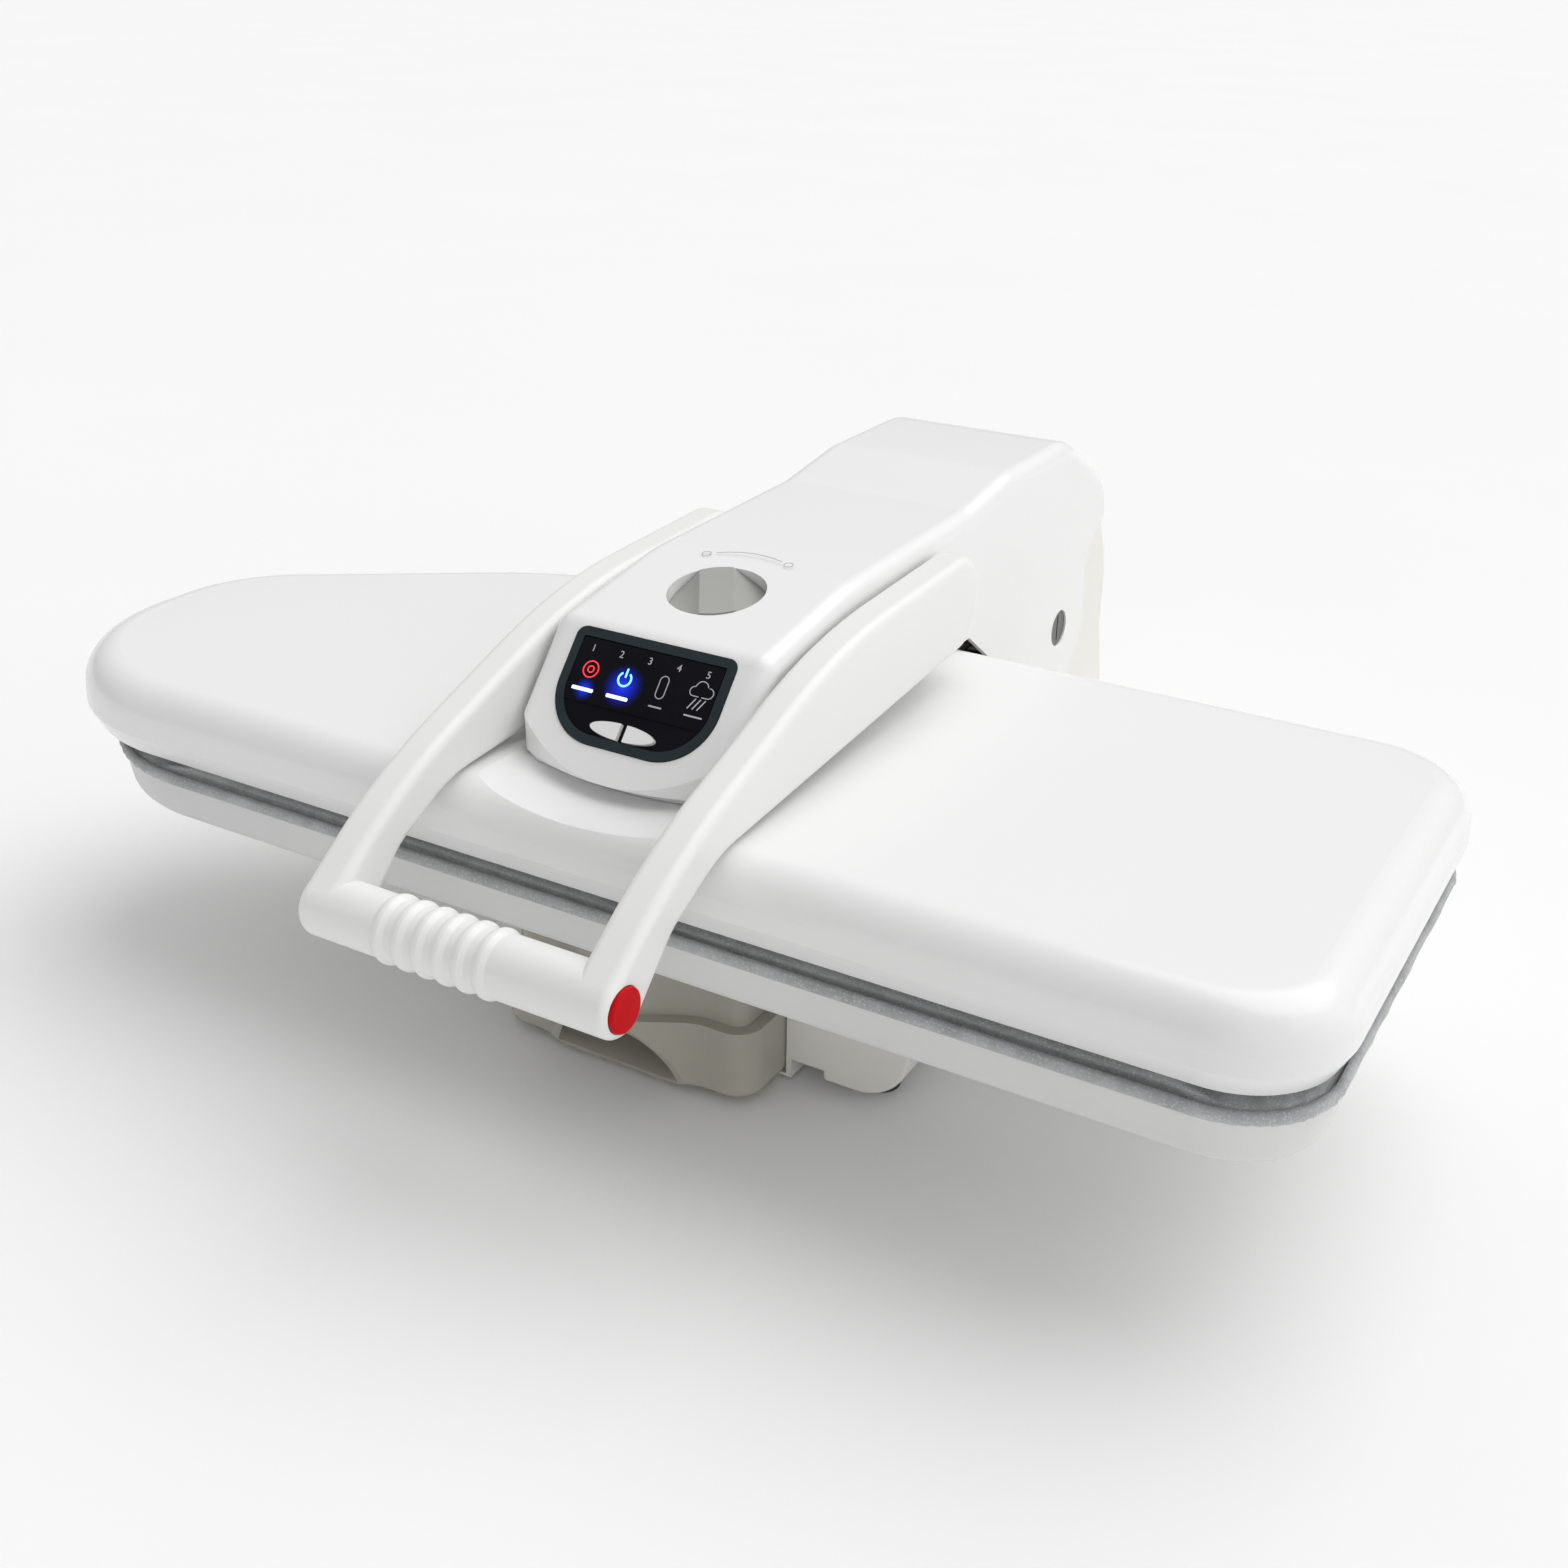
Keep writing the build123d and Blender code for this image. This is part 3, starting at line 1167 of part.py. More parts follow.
back_foot_y = column_back_y - back_foot_set
foot_draft = 8.0
foot_radius = 10.0
base_screw_spots = [(service_x + side * (service_half - overrun), y) for side in (-1, 1)
                    for y in (service_front_y + overrun, service_back_y - overrun)]
with BuildPart() as base_shell:
    extrude(base_section(base_back_y, 0.0), amount=base_back_y - base_front_y)
    fillet(base_shell.faces().sort_by(Axis.Y)[0].edges().filter_by(
        lambda edge: edge.center().Z < base_top_z - overrun), base_edge_radius * base_front_round_share)
    extrude(base_section(base_back_y - shell_wall, shell_wall),
            amount=base_back_y - base_front_y - 2 * shell_wall, mode=Mode.SUBTRACT)
    # Bay of the tank, with the two rails that it slides on
    span_box(tank_x - bay_half - shell_wall, tank_x + bay_half + shell_wall, base_front_y,
             bay_back_y + shell_wall, rail_low_z, base_top_z)
    span_box(tank_x - bay_half, tank_x + bay_half, base_front_y - overrun, bay_back_y,
             rail_top_z, bay_top_z, Mode.SUBTRACT)
    span_box(tank_x - bay_half + rail_reach, tank_x + bay_half - rail_reach, base_front_y - overrun,
             bay_back_y + shell_wall, rail_low_z - overrun, rail_top_z + overrun, Mode.SUBTRACT)
    rod((tank_x, bay_back_y - overrun, outlet_z), (0, 1, 0), 3 * overrun, spout_radius + 2 * running_gap,
        Mode.SUBTRACT)
    # Opening for servicing, its recess and the bosses of its screws
    span_box(service_x - service_half, service_x + service_half, service_front_y, service_back_y,
             base_floor_z - overrun, base_floor_z + service_sheet + seat_gap, Mode.SUBTRACT)
    span_box(service_x - service_half + service_lip, service_x + service_half - service_lip,
             service_front_y + service_lip, service_back_y - service_lip,
             base_floor_z, base_floor_z + 2 * shell_wall, Mode.SUBTRACT)
    for boss_x, boss_y in base_screw_spots:
        post(boss_x, boss_y, base_floor_z + service_sheet + seat_gap, base_floor_z + base_boss_height, boss_radius)
        post(boss_x, boss_y, base_floor_z, base_floor_z + base_boss_height, screw_radius + seat_gap,
             Mode.SUBTRACT)
    post(front_feet[1][0], front_feet[1][1], foot_z, base_floor_z + leg_radius, foot_radius + seat_gap)
    for bolt_x, bolt_y in board_bolt_spots:
        post(bolt_x, bolt_y, base_top_z - 2 * shell_wall, base_top_z + overrun, board_bolt_radius + seat_gap,
             Mode.SUBTRACT)
    # Window into the column
    span_box(arm_x - window_half, arm_x + window_half, base_back_y - 2 * shell_wall, base_back_y + overrun,
             window_low_z, window_high_z, Mode.SUBTRACT)
    for screw_x, screw_z in column_screw_spots:
        rod((screw_x, base_back_y - 2 * overrun, screw_z), (0, 1, 0), 4 * overrun, screw_radius + seat_gap,
            Mode.SUBTRACT)
save(base_shell, "base_shell")

with BuildPart() as base_plate:
    span_box(service_x - service_half + running_gap, service_x + service_half - running_gap,
             service_front_y + running_gap, service_back_y - running_gap, base_floor_z,
             base_floor_z + service_sheet)
    for boss_x, boss_y in base_screw_spots:
        post(boss_x, boss_y, base_floor_z, base_floor_z + service_sheet, screw_radius + seat_gap, Mode.SUBTRACT)
save(base_plate, "base_plate")
with BuildPart() as base_screws:
    for boss_x, boss_y in base_screw_spots:
        head_z = base_floor_z - seat_gap
        post(boss_x, boss_y, head_z - screw_head_height, head_z, screw_head_radius)
        post(boss_x, boss_y, head_z, head_z + screw_length, screw_radius)
save(base_screws, "base_screws")
with BuildPart() as column_screws:
    for screw_x, screw_z in column_screw_spots:
        head_y = base_back_y - shell_wall - seat_gap
        rod((screw_x, head_y - screw_head_height, screw_z), (0, 1, 0), screw_head_height, screw_head_radius)
        rod((screw_x, head_y, screw_z), (0, 1, 0), screw_length, screw_radius)
save(column_screws, "column_screws")
with BuildPart() as board_bolts:
    for bolt_x, bolt_y in board_bolt_spots:
        head_z = base_top_z - shell_wall - seat_gap
        post(bolt_x, bolt_y, head_z - bracket_bolt_head, head_z, bracket_bolt_head_radius)
        post(bolt_x, bolt_y, head_z, pan_bottom_z + sheet, board_bolt_radius)
save(board_bolts, "board_bolts")

foot_spots = list(front_feet) + [(arm_x + side * back_foot_half, back_foot_y) for side in (-1, 1)]
with BuildPart() as rubber_feet:
    for foot_x, foot_y in foot_spots:
        with BuildSketch(Plane.XY.offset(foot_z - seat_gap)) as pad_top:
            with Locations((foot_x, foot_y)):
                Circle(foot_radius)
        extrude(pad_top.sketch, amount=-(foot_z - seat_gap), taper=foot_draft)
save(rubber_feet, "rubber_feet")

# Water tank: a tray with a finger grip under its bulged front, and a lid on top
tank_half = bay_half - 2 * running_gap
tank_floor_z = rail_top_z + running_gap
tank_rim_z = 37.0
tank_roof_gap = 8.0
tank_back_gap = 2.0
tank_flank_reach = 33.0
tank_bulge = 15.0
tank_top_z = bay_top_z - tank_roof_gap
tank_back_y = bay_back_y - tank_back_gap
tank_flank_y = base_front_y - tank_flank_reach
tank_front_y = tank_flank_y - tank_bulge
tank_wall = 2.2
tank_lid_inset = 6.4
tank_edge_radius = 4.5
tank_back_radius = 6.0
tank_corner_radius = 13.0
tank_wave_radius = 24.0
tank_bulge_share = 0.22
tank_flank_share = 0.60
grip_scoop_radius = 66.0
grip_scoop_setback = 52.0
grip_scoop_drop = 10.0


def tank_form(low_z, high_z, inset):
    """Solid tank form between two heights, drawn in by an inset, with the finger grip."""
    bulge = tank_half * tank_bulge_share
    flank = tank_half * tank_flank_share
    with BuildPart() as form:
        with BuildSketch(Plane.XY.offset(low_z)) as plan:
            with BuildLine():
                FilletPolyline(
                    (tank_x - tank_half, tank_back_y), (tank_x + tank_half, tank_back_y),
                    (tank_x + tank_half, tank_flank_y), (tank_x + flank, tank_flank_y),
                    (tank_x + bulge, tank_front_y), (tank_x - bulge, tank_front_y),
                    (tank_x - flank, tank_flank_y), (tank_x - tank_half, tank_flank_y),
                    radius=(tank_back_radius, tank_back_radius, tank_corner_radius, tank_wave_radius,
                            tank_wave_radius, tank_wave_radius, tank_wave_radius, tank_corner_radius),
                    close=True)
            make_face()
            if inset > 0:
                offset(amount=-inset, mode=Mode.REPLACE)
        extrude(plan.sketch, amount=high_z - low_z)
    return form.part


def grip_scoop(growth):
    """Round bar along X that hollows the tray's front for the fingers."""
    with BuildPart() as scoop:
        cross_bar(tank_front_y - grip_scoop_setback, tank_floor_z - grip_scoop_drop,
                  tank_x - tank_half, tank_x + tank_half, grip_scoop_radius + growth)
    return scoop.part


spout_wall = 2.3
spout_length = 6.0
with BuildPart() as tray_hollow:
    add(tank_form(tank_floor_z + tank_wall, tank_rim_z + overrun, tank_wall))
    add(grip_scoop(tank_wall), mode=Mode.SUBTRACT)
with BuildPart() as tank_lower:
    add(tank_form(tank_floor_z, tank_rim_z, 0.0))
    fillet(tank_lower.edges().group_by(Axis.Z)[0], tank_edge_radius)
    add(grip_scoop(0.0), mode=Mode.SUBTRACT)
    add(tray_hollow.part, mode=Mode.SUBTRACT)
    rod((tank_x, tank_back_y - tank_wall, outlet_z), (0, 1, 0), tank_wall + spout_length, spout_radius)
    rod((tank_x, tank_back_y - 2 * tank_wall, outlet_z), (0, 1, 0), 4 * tank_wall + spout_length,
        spout_radius - spout_wall, Mode.SUBTRACT)
save(tank_lower, "tank_lower")

neck_shift = 38.0
neck_inset = 27.0
neck_x = tank_x - neck_shift
neck_y = tank_flank_y + neck_inset
neck_radius = 12.0
neck_height = 2.6
cap_radius = 15.0
cap_height = 5.0
cap_rib_half = 2.0
cap_rib_height = 2.0
lid_flange = 2.4
lid_bottom_z = tank_rim_z + seat_gap
with BuildPart() as tank_upper:
    add(tank_form(lid_bottom_z, lid_bottom_z + lid_flange, 0.0))
    add(tank_form(lid_bottom_z, tank_top_z, tank_lid_inset))
    fillet(tank_upper.edges().group_by(Axis.Z)[-1], tank_edge_radius)
    add(tank_form(lid_bottom_z - overrun, tank_top_z - tank_wall, tank_lid_inset + tank_wall), mode=Mode.SUBTRACT)
    post(neck_x, neck_y, tank_top_z - tank_wall, tank_top_z + neck_height, neck_radius)
    post(neck_x, neck_y, tank_top_z - 2 * tank_wall, tank_top_z + 2 * neck_height, neck_radius - tank_wall,
         Mode.SUBTRACT)
save(tank_upper, "tank_upper")

cap_bottom_z = tank_top_z + running_gap
with BuildPart() as tank_cap:
    post(neck_x, neck_y, cap_bottom_z, cap_bottom_z + cap_height, cap_radius)
    fillet(tank_cap.edges().group_by(Axis.Z)[-1], sheet / 2)
    span_box(neck_x - cap_radius * tank_flank_share, neck_x + cap_radius * tank_flank_share,
             neck_y - cap_rib_half, neck_y + cap_rib_half,
             cap_bottom_z + cap_height - sheet, cap_bottom_z + cap_height + cap_rib_height)
    post(neck_x, neck_y, cap_bottom_z - overrun, tank_top_z + neck_height + running_gap,
         neck_radius + running_gap, Mode.SUBTRACT)
save(tank_cap, "tank_cap")

valve_travel = 2.0
valve_radius = 3.4
valve_head_radius = 6.0
valve_head_length = 2.0
valve_tip_y = tank_back_y + spout_length
valve_head_y = tank_back_y - tank_wall - running_gap
with BuildPart() as tank_valve:
    rod((tank_x, valve_head_y, outlet_z), (0, 1, 0), valve_tip_y - valve_head_y, valve_radius)
    rod((tank_x, valve_head_y, outlet_z), (0, -1, 0), valve_head_length, valve_head_radius)
save(tank_valve, "tank_valve")

# Water path: coupling behind the bay, pump, hoses up the column and along the arm
coupling_radius = 10.5
coupling_length = 17.0
coupling_face_y = bay_back_y + shell_wall + seat_gap
nipple_length = 6.0
coupling_end_y = coupling_face_y + coupling_length
with BuildPart() as tank_coupling:
    rod((tank_x, coupling_face_y, outlet_z), (0, 1, 0), coupling_length, coupling_radius)
    rod((tank_x, coupling_end_y, outlet_z), (0, 1, 0), nipple_length, hose_radius)
    rod((tank_x, coupling_face_y - overrun, outlet_z), (0, 1, 0), 2 * overrun,
        spout_radius + running_gap, Mode.SUBTRACT)
    rod((tank_x, coupling_face_y - overrun, outlet_z), (0, 1, 0),
        coupling_length + nipple_length + 2 * overrun, hose_bore, Mode.SUBTRACT)
save(tank_coupling, "tank_coupling")

pump_shift = 22.0
pump_setback = 50.0
pump_left_x = arm_x + pump_shift
pump_y = bay_back_y + pump_setback
pump_head_length = 28.0
pump_half = 15.0
pump_motor_length = 26.0
pump_motor_radius = 12.0
pump_height = 32.0
pump_seat_z = base_floor_z + service_sheet + seat_gap
pump_outlet_z = 36.0
pump_outlet_x = pump_left_x + pump_head_length / 2
with BuildPart() as water_pump:
    span_box(pump_left_x, pump_left_x + pump_head_length, pump_y - pump_half, pump_y + pump_half, pump_seat_z,
             pump_seat_z + pump_height)
    fillet(water_pump.edges().filter_by(Axis.X), shell_wall)
    cross_bar(pump_y, pump_seat_z + pump_half, pump_left_x + pump_head_length,
              pump_left_x + pump_head_length + pump_motor_length, pump_motor_radius)
    cross_bar(pump_y, outlet_z, pump_left_x - nipple_length, pump_left_x, hose_radius)
    rod((pump_outlet_x, pump_y + pump_half, pump_outlet_z), (0, 1, 0), nipple_length, hose_radius)
save(water_pump, "water_pump")


def hose(name, points, radii):
    """Hose with its bore along straight runs and tangent arcs."""
    with BuildPart() as tube:
        with BuildLine() as path:
            FilletPolyline(*points, radius=radii)
        route = path.wire()
        with BuildSketch(Plane(origin=route @ 0, z_dir=route % 0)) as section:
            Circle(hose_radius)
            Circle(hose_bore, mode=Mode.SUBTRACT)
        sweep(section.sketch, path=route)
    save(tube, name)


hose("suction_hose",
     ((tank_x, coupling_end_y + nipple_length, outlet_z), (tank_x, pump_y, outlet_z),
      (pump_left_x - nipple_length, pump_y, outlet_z)),
     (hose_bend,))
riser_y = hose_bar_y + stop_bar_radius + running_gap + hose_radius
hose("riser_hose",
     ((pump_outlet_x, pump_y + pump_half + nipple_length, pump_outlet_z),
      (pump_outlet_x, pump_y + 6 * pump_half, pump_outlet_z),
      (arm_x, column_front_y, pump_outlet_z), (arm_x, riser_y, pump_outlet_z),
      (arm_x, riser_y, pivot_z)),
     (2 * hose_bend, 2 * hose_bend, 2 * hose_bend))
hose_run_z = arm_top_z - arm_plate - running_gap - hose_radius
hose("head_hose",
     ((arm_x, steam_inlet_y, steam_box_top_z + seat_gap), (arm_x, steam_inlet_y, hose_run_z),
      (arm_x, web_back_y, hose_run_z),
      (arm_x, pivot_y - arm_eye_radius - overrun, pivot_z + 2 * arm_eye_radius)),
     (hose_bend, 2 * hose_bend))

power_shift = 82.0
power_width = 56.0
power_setback = 30.0
power_length = 110.0
power_left_x = arm_x - power_shift
power_right_x = power_left_x + power_width
power_front_y = bay_back_y + power_setback
power_back_y = power_front_y + power_length
power_rise = 8.0
power_inset = 6.0
filter_length = 20.0
transformer_height = 28.0
with BuildPart() as power_board:
    board_z = pump_seat_z + power_rise
    span_box(power_left_x, power_right_x, power_front_y, power_back_y, board_z,
             board_z + circuit_board_thickness)
    for post_x in (power_left_x + power_inset, power_right_x - power_inset):
        for post_y in (power_front_y + power_inset, power_back_y - power_inset):
            post(post_x, post_y, pump_seat_z, board_z, shell_wall)
    span_box(power_left_x + power_inset, power_right_x - 3 * power_inset, power_front_y + power_length / 2,
             power_back_y - 4 * power_inset, board_z, board_z + transformer_height)
    span_box(power_left_x + 2 * power_inset, power_right_x - power_inset, power_front_y + 2 * power_inset,
             power_front_y + 2 * power_inset + filter_length, board_z, board_z + transformer_height / 2)
save(power_board, "power_board")

# Gland where the mains cord enters the column
gland_flange_radius = 12.0
gland_bore = 3.6
gland_length = 12.0
inlet_set = 2.0
inlet_back_y = column_back_y - inlet_set
with BuildPart() as cord_gland:
    rod((inlet_x, inlet_back_y, inlet_z), (0, -1, 0), gland_length, inlet_radius)
    rod((inlet_x, inlet_back_y - 2 * shell_wall, inlet_z), (0, -1, 0), shell_wall, gland_flange_radius)
    rod((inlet_x, inlet_back_y + overrun, inlet_z), (0, -1, 0), gland_length + 2 * overrun, gland_bore,
        Mode.SUBTRACT)
save(cord_gland, "cord_gland")
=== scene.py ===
"""Dress of the steam ironing press: finishes, padded board, wound springs, panel face and studio."""

import logging
import math
from dataclasses import dataclass, field
from enum import Enum
from functools import cache

import bmesh
import bpy
from bmesh.types import BMEdge, BMesh, BMVert
from bpy.types import ID, Material, Node, NodeSocket, NodeTree, Object
from mathutils import Matrix, Vector


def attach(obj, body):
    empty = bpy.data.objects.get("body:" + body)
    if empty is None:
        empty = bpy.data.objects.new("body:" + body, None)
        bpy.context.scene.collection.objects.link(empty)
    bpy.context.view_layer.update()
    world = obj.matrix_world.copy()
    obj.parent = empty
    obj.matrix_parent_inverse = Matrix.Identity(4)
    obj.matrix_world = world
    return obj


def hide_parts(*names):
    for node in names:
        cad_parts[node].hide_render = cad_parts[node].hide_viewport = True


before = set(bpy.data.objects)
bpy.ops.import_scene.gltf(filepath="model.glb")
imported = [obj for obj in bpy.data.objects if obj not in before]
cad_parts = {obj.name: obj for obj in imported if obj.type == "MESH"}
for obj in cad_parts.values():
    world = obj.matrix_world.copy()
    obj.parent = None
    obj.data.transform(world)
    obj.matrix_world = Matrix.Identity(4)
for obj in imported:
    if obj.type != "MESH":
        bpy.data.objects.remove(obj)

logging.basicConfig(level=logging.INFO, format="%(message)s")
log = logging.getLogger("press")

# Millimetre, the head arm's middle across, and distance within which a mark's points are joined.
MM = 0.001
ARM_X = 0.014
WELD = 0.000002
# Degrees of a whole ring and of one of its steps, and the fewest steps.
FULL_TURN = 360.0
RING_STEP = 9.0
RING_LEAST_STEPS = 6
BLACK = (0.0, 0.0, 0.0)
SCREEN_BLACK = (0.0035, 0.0035, 0.0055)
NODE_FINISHES = {"pivot_cap_left": "cap_grey", "pivot_cap_right": "cap_grey"}
Feed = NodeSocket | float | tuple


def of_kind(items: list, kind: type) -> list:
    """Gives those of some bmesh elements that are of one kind."""
    return [item for item in items if isinstance(item, kind)]


def raise_faces(bm: BMesh, height: float) -> None:
    """Raises all faces of a flat bmesh into a closed solid of an even height."""
    raised = bmesh.ops.extrude_face_region(bm, geom=bm.faces[:])["geom"]
    bmesh.ops.translate(bm, verts=of_kind(raised, BMVert), vec=(0, 0, height))


def put_in_scene(name: str, data: ID) -> Object:
    """Makes an object from its data and puts it in the scene.

    Args:
        name: the object's name.
        data: its mesh, camera or light.

    Returns:
        The new object.
    """
    thing = bpy.data.objects.new(name, data)
    bpy.context.scene.collection.objects.link(thing)
    return thing


class Lay(Enum):
    """Axis that a noise pattern is drawn out along, as shares of its scale."""

    ALONG_X = (0.04, 1.0, 1.0)
    ALONG_Y = (1.0, 0.04, 1.0)
    ALONG_Z = (1.0, 1.0, 0.04)


@dataclass
class NodeSheet:
    """Node tree that is being filled.

    Attributes:
        tree: the tree that the nodes go into.
    """

    # Inputs and output of a Mix node that mixes colours.
    MIX_INPUTS = (0, 6, 7)
    MIX_OUTPUT = 2

    tree: NodeTree

    def add(self, kind: str, settings: dict | None = None, **sockets: Feed) -> Node:
        """Adds a node, sets its properties and sets or links its inputs.

        Args:
            kind: type of the node.
            settings: properties of the node itself.
            **sockets: what its inputs get, as for plug.

        Returns:
            The new node.
        """
        node = self.tree.nodes.new(kind)
        for name, value in (settings or {}).items():
            setattr(node, name, value)
        self.plug(node, **sockets)
        return node

    def plug(self, node: Node, **sockets: Feed) -> None:
        """Sets or links inputs of a node.

        Args:
            node: the node.
            **sockets: values or output sockets by input name, with _ for a space.
        """
        for name, value in sockets.items():
            self.feed(node.inputs[name.replace("_", " ")], value)

    def feed(self, socket: NodeSocket, value: Feed) -> None:
        """Links an output socket to an input, or sets the input's own value.

        Args:
            socket: the input.
            value: the output socket or the value.
        """
        if isinstance(value, NodeSocket):
            self.tree.links.new(value, socket)
        else:
            socket.default_value = value

    def maths(self, operation: str, first: Feed, second: Feed) -> NodeSocket:
        """Adds one Math node.

        Args:
            operation: what it works out.
            first: value or socket.
            second: value or socket.

        Returns:
            The result's socket.
        """
        node = self.add("ShaderNodeMath", {"operation": operation})
        self.feed(node.inputs[0], first)
        self.feed(node.inputs[1], second)
        return node.outputs[0]

    def ranged(self, source: NodeSocket, **limits: float) -> NodeSocket:
        """Maps a value from one range onto another, each 0 to 1 unless it is given."""
        return self.add("ShaderNodeMapRange", Value=source, **limits).outputs[0]

    def blend(self, mask: NodeSocket, first: Feed, second: Feed) -> NodeSocket:
        """Mixes two colours by a mask.

        Args:
            mask: socket that gives 0 to 1.
            first: colour where the mask is 0.
            second: colour where the mask is 1.

        Returns:
            The mixed colour's socket.
        """
        node = self.add("ShaderNodeMix", {"data_type": "RGBA"})
        for index, value in zip(self.MIX_INPUTS, (mask, first, second)):
            self.feed(node.inputs[index], value)
        return node.outputs[self.MIX_OUTPUT]


@dataclass
class MaterialSheet(NodeSheet):
    """Node tree of one material.

    Attributes:
        shader: its Principled node.
        place: socket of its Object coordinates.
    """

    shader: Node = field(init=False)
    place: NodeSocket = field(init=False)

    def __post_init__(self) -> None:
        """Finds the shader and adds the coordinates."""
        self.shader = next(node for node in self.tree.nodes if node.type == "BSDF_PRINCIPLED")
        self.place = self.add("ShaderNodeTexCoord").outputs["Object"]


def rgba(colour: tuple[float, float, float]) -> tuple[float, float, float, float]:
    """Adds a full alpha to a colour."""
    return (*colour, 1.0)


class Effects:
    """Shader node groups that several finishes share, each built once."""

    CLOUD_NOISE = {"Detail": 3.0, "Roughness": 0.55}
    CLOUD_RANGE = {"From_Min": 0.35, "From_Max": 0.65}
    GRAIN_NOISE = {"Detail": 2.0, "Roughness": 0.5}
    CELL_SHARE = 0.5
    LINE_NOISE = {"Detail": 4.0, "Roughness": 0.7}
    STAIN_NOISE = {"Scale": 18.0, "Detail": 4.0}
    STAIN_RANGE = {"From_Min": 0.4, "From_Max": 0.7}
    THREAD_WAVE = {"Distortion": 0.6, "Detail": 1.0}
    WANDER_NOISE = {"Scale": 90.0, "Detail": 2.0}
    WANDER_SHARE = 0.4
    DOT_RANGE = {"From_Min": 0.1, "From_Max": 0.45}

    @staticmethod
    def start(name: str, vectors: tuple[str, ...], values: tuple[str, ...],
              results: tuple[str, ...]) -> tuple[NodeTree, NodeSheet, Node, Node]:
        """Starts a group with its sockets.

        Args:
            name: the group's name.
            vectors: names of the vector inputs.
            values: names of the value inputs.
            results: names of the outputs, all values.

        Returns:
            The group's tree, its node sheet, its input node and its output node.
        """
        tree = bpy.data.node_groups.new(name, "ShaderNodeTree")
        for label in vectors:
            tree.interface.new_socket(label, in_out="INPUT", socket_type="NodeSocketVector")
        for label in values:
            tree.interface.new_socket(label, in_out="INPUT", socket_type="NodeSocketFloat")
        for label in results:
            tree.interface.new_socket(label, in_out="OUTPUT", socket_type="NodeSocketFloat")
        sheet = NodeSheet(tree)
        return tree, sheet, sheet.add("NodeGroupInput"), sheet.add("NodeGroupOutput")

    @classmethod
    @cache
    def moulded(cls) -> NodeTree:
        """Moulded or painted surface: soft cloudy mask and an orange-peel height.

        Returns:
            The group's tree.
        """
        tree, sheet, source, result = cls.start(
            "moulded_surface", ("Vector",), ("Cloud Scale", "Grain Scale"), ("Cloud", "Height"))
        place = source.outputs["Vector"]
        cloud = sheet.add("ShaderNodeTexNoise", Vector=place, Scale=source.outputs["Cloud Scale"],
                          **cls.CLOUD_NOISE)
        grain = sheet.add("ShaderNodeTexNoise", Vector=place, Scale=source.outputs["Grain Scale"],
                          **cls.GRAIN_NOISE)
        cells = sheet.add("ShaderNodeTexVoronoi", {"feature": "SMOOTH_F1"}, Vector=place,
                          Scale=source.outputs["Grain Scale"])
        peel = sheet.maths("MULTIPLY", cells.outputs["Distance"], cls.CELL_SHARE)
        sheet.plug(result, Cloud=sheet.ranged(cloud.outputs["Fac"], **cls.CLOUD_RANGE),
                   Height=sheet.maths("ADD", grain.outputs["Fac"], peel))
        return tree

    @classmethod
    @cache
    def drawn(cls) -> NodeTree:
        """Brushed or rolled metal: fine lines drawn out along the stretched axis.

        Returns:
            The group's tree.
        """
        tree, sheet, source, result = cls.start(
            "drawn_lines", ("Vector", "Stretch"), ("Scale",), ("Lines", "Stain"))
        place = sheet.add("ShaderNodeMapping", Vector=source.outputs["Vector"],
                          Scale=source.outputs["Stretch"])
        lines = sheet.add("ShaderNodeTexNoise", Vector=place.outputs[0], Scale=source.outputs["Scale"],
                          **cls.LINE_NOISE)
        stain = sheet.add("ShaderNodeTexNoise", Vector=source.outputs["Vector"], **cls.STAIN_NOISE)
        sheet.plug(result, Lines=lines.outputs["Fac"],
                   Stain=sheet.ranged(stain.outputs["Fac"], **cls.STAIN_RANGE))
        return tree

    @classmethod
    @cache
    def weave(cls) -> NodeTree:
        """Plain weave: warp and weft threads with stray speckles between them.

        Returns:
            The group's tree.
        """
        tree, sheet, source, result = cls.start(
            "plain_weave", ("Vector",), ("Thread Scale", "Speckle Scale"), ("Thread", "Speckle", "Height"))
        place = source.outputs["Vector"]
        wander = sheet.add("ShaderNodeTexNoise", Vector=place, **cls.WANDER_NOISE).outputs["Fac"]
        warp, weft = (
            sheet.add("ShaderNodeTexWave", {"bands_direction": axis}, Vector=place,
                      Scale=source.outputs["Thread Scale"], **cls.THREAD_WAVE).outputs["Fac"]
            for axis in "XY")
        both = sheet.maths("MAXIMUM", warp, weft)
        speckle = sheet.add("ShaderNodeTexVoronoi", Vector=place, Scale=source.outputs["Speckle Scale"])
        dots = sheet.ranged(speckle.outputs["Distance"], **cls.DOT_RANGE)
        sheet.plug(result, Thread=both, Speckle=sheet.maths("MULTIPLY", dots, wander),
                   Height=sheet.maths("ADD", both, sheet.maths("MULTIPLY", wander, cls.WANDER_SHARE)))
        return tree


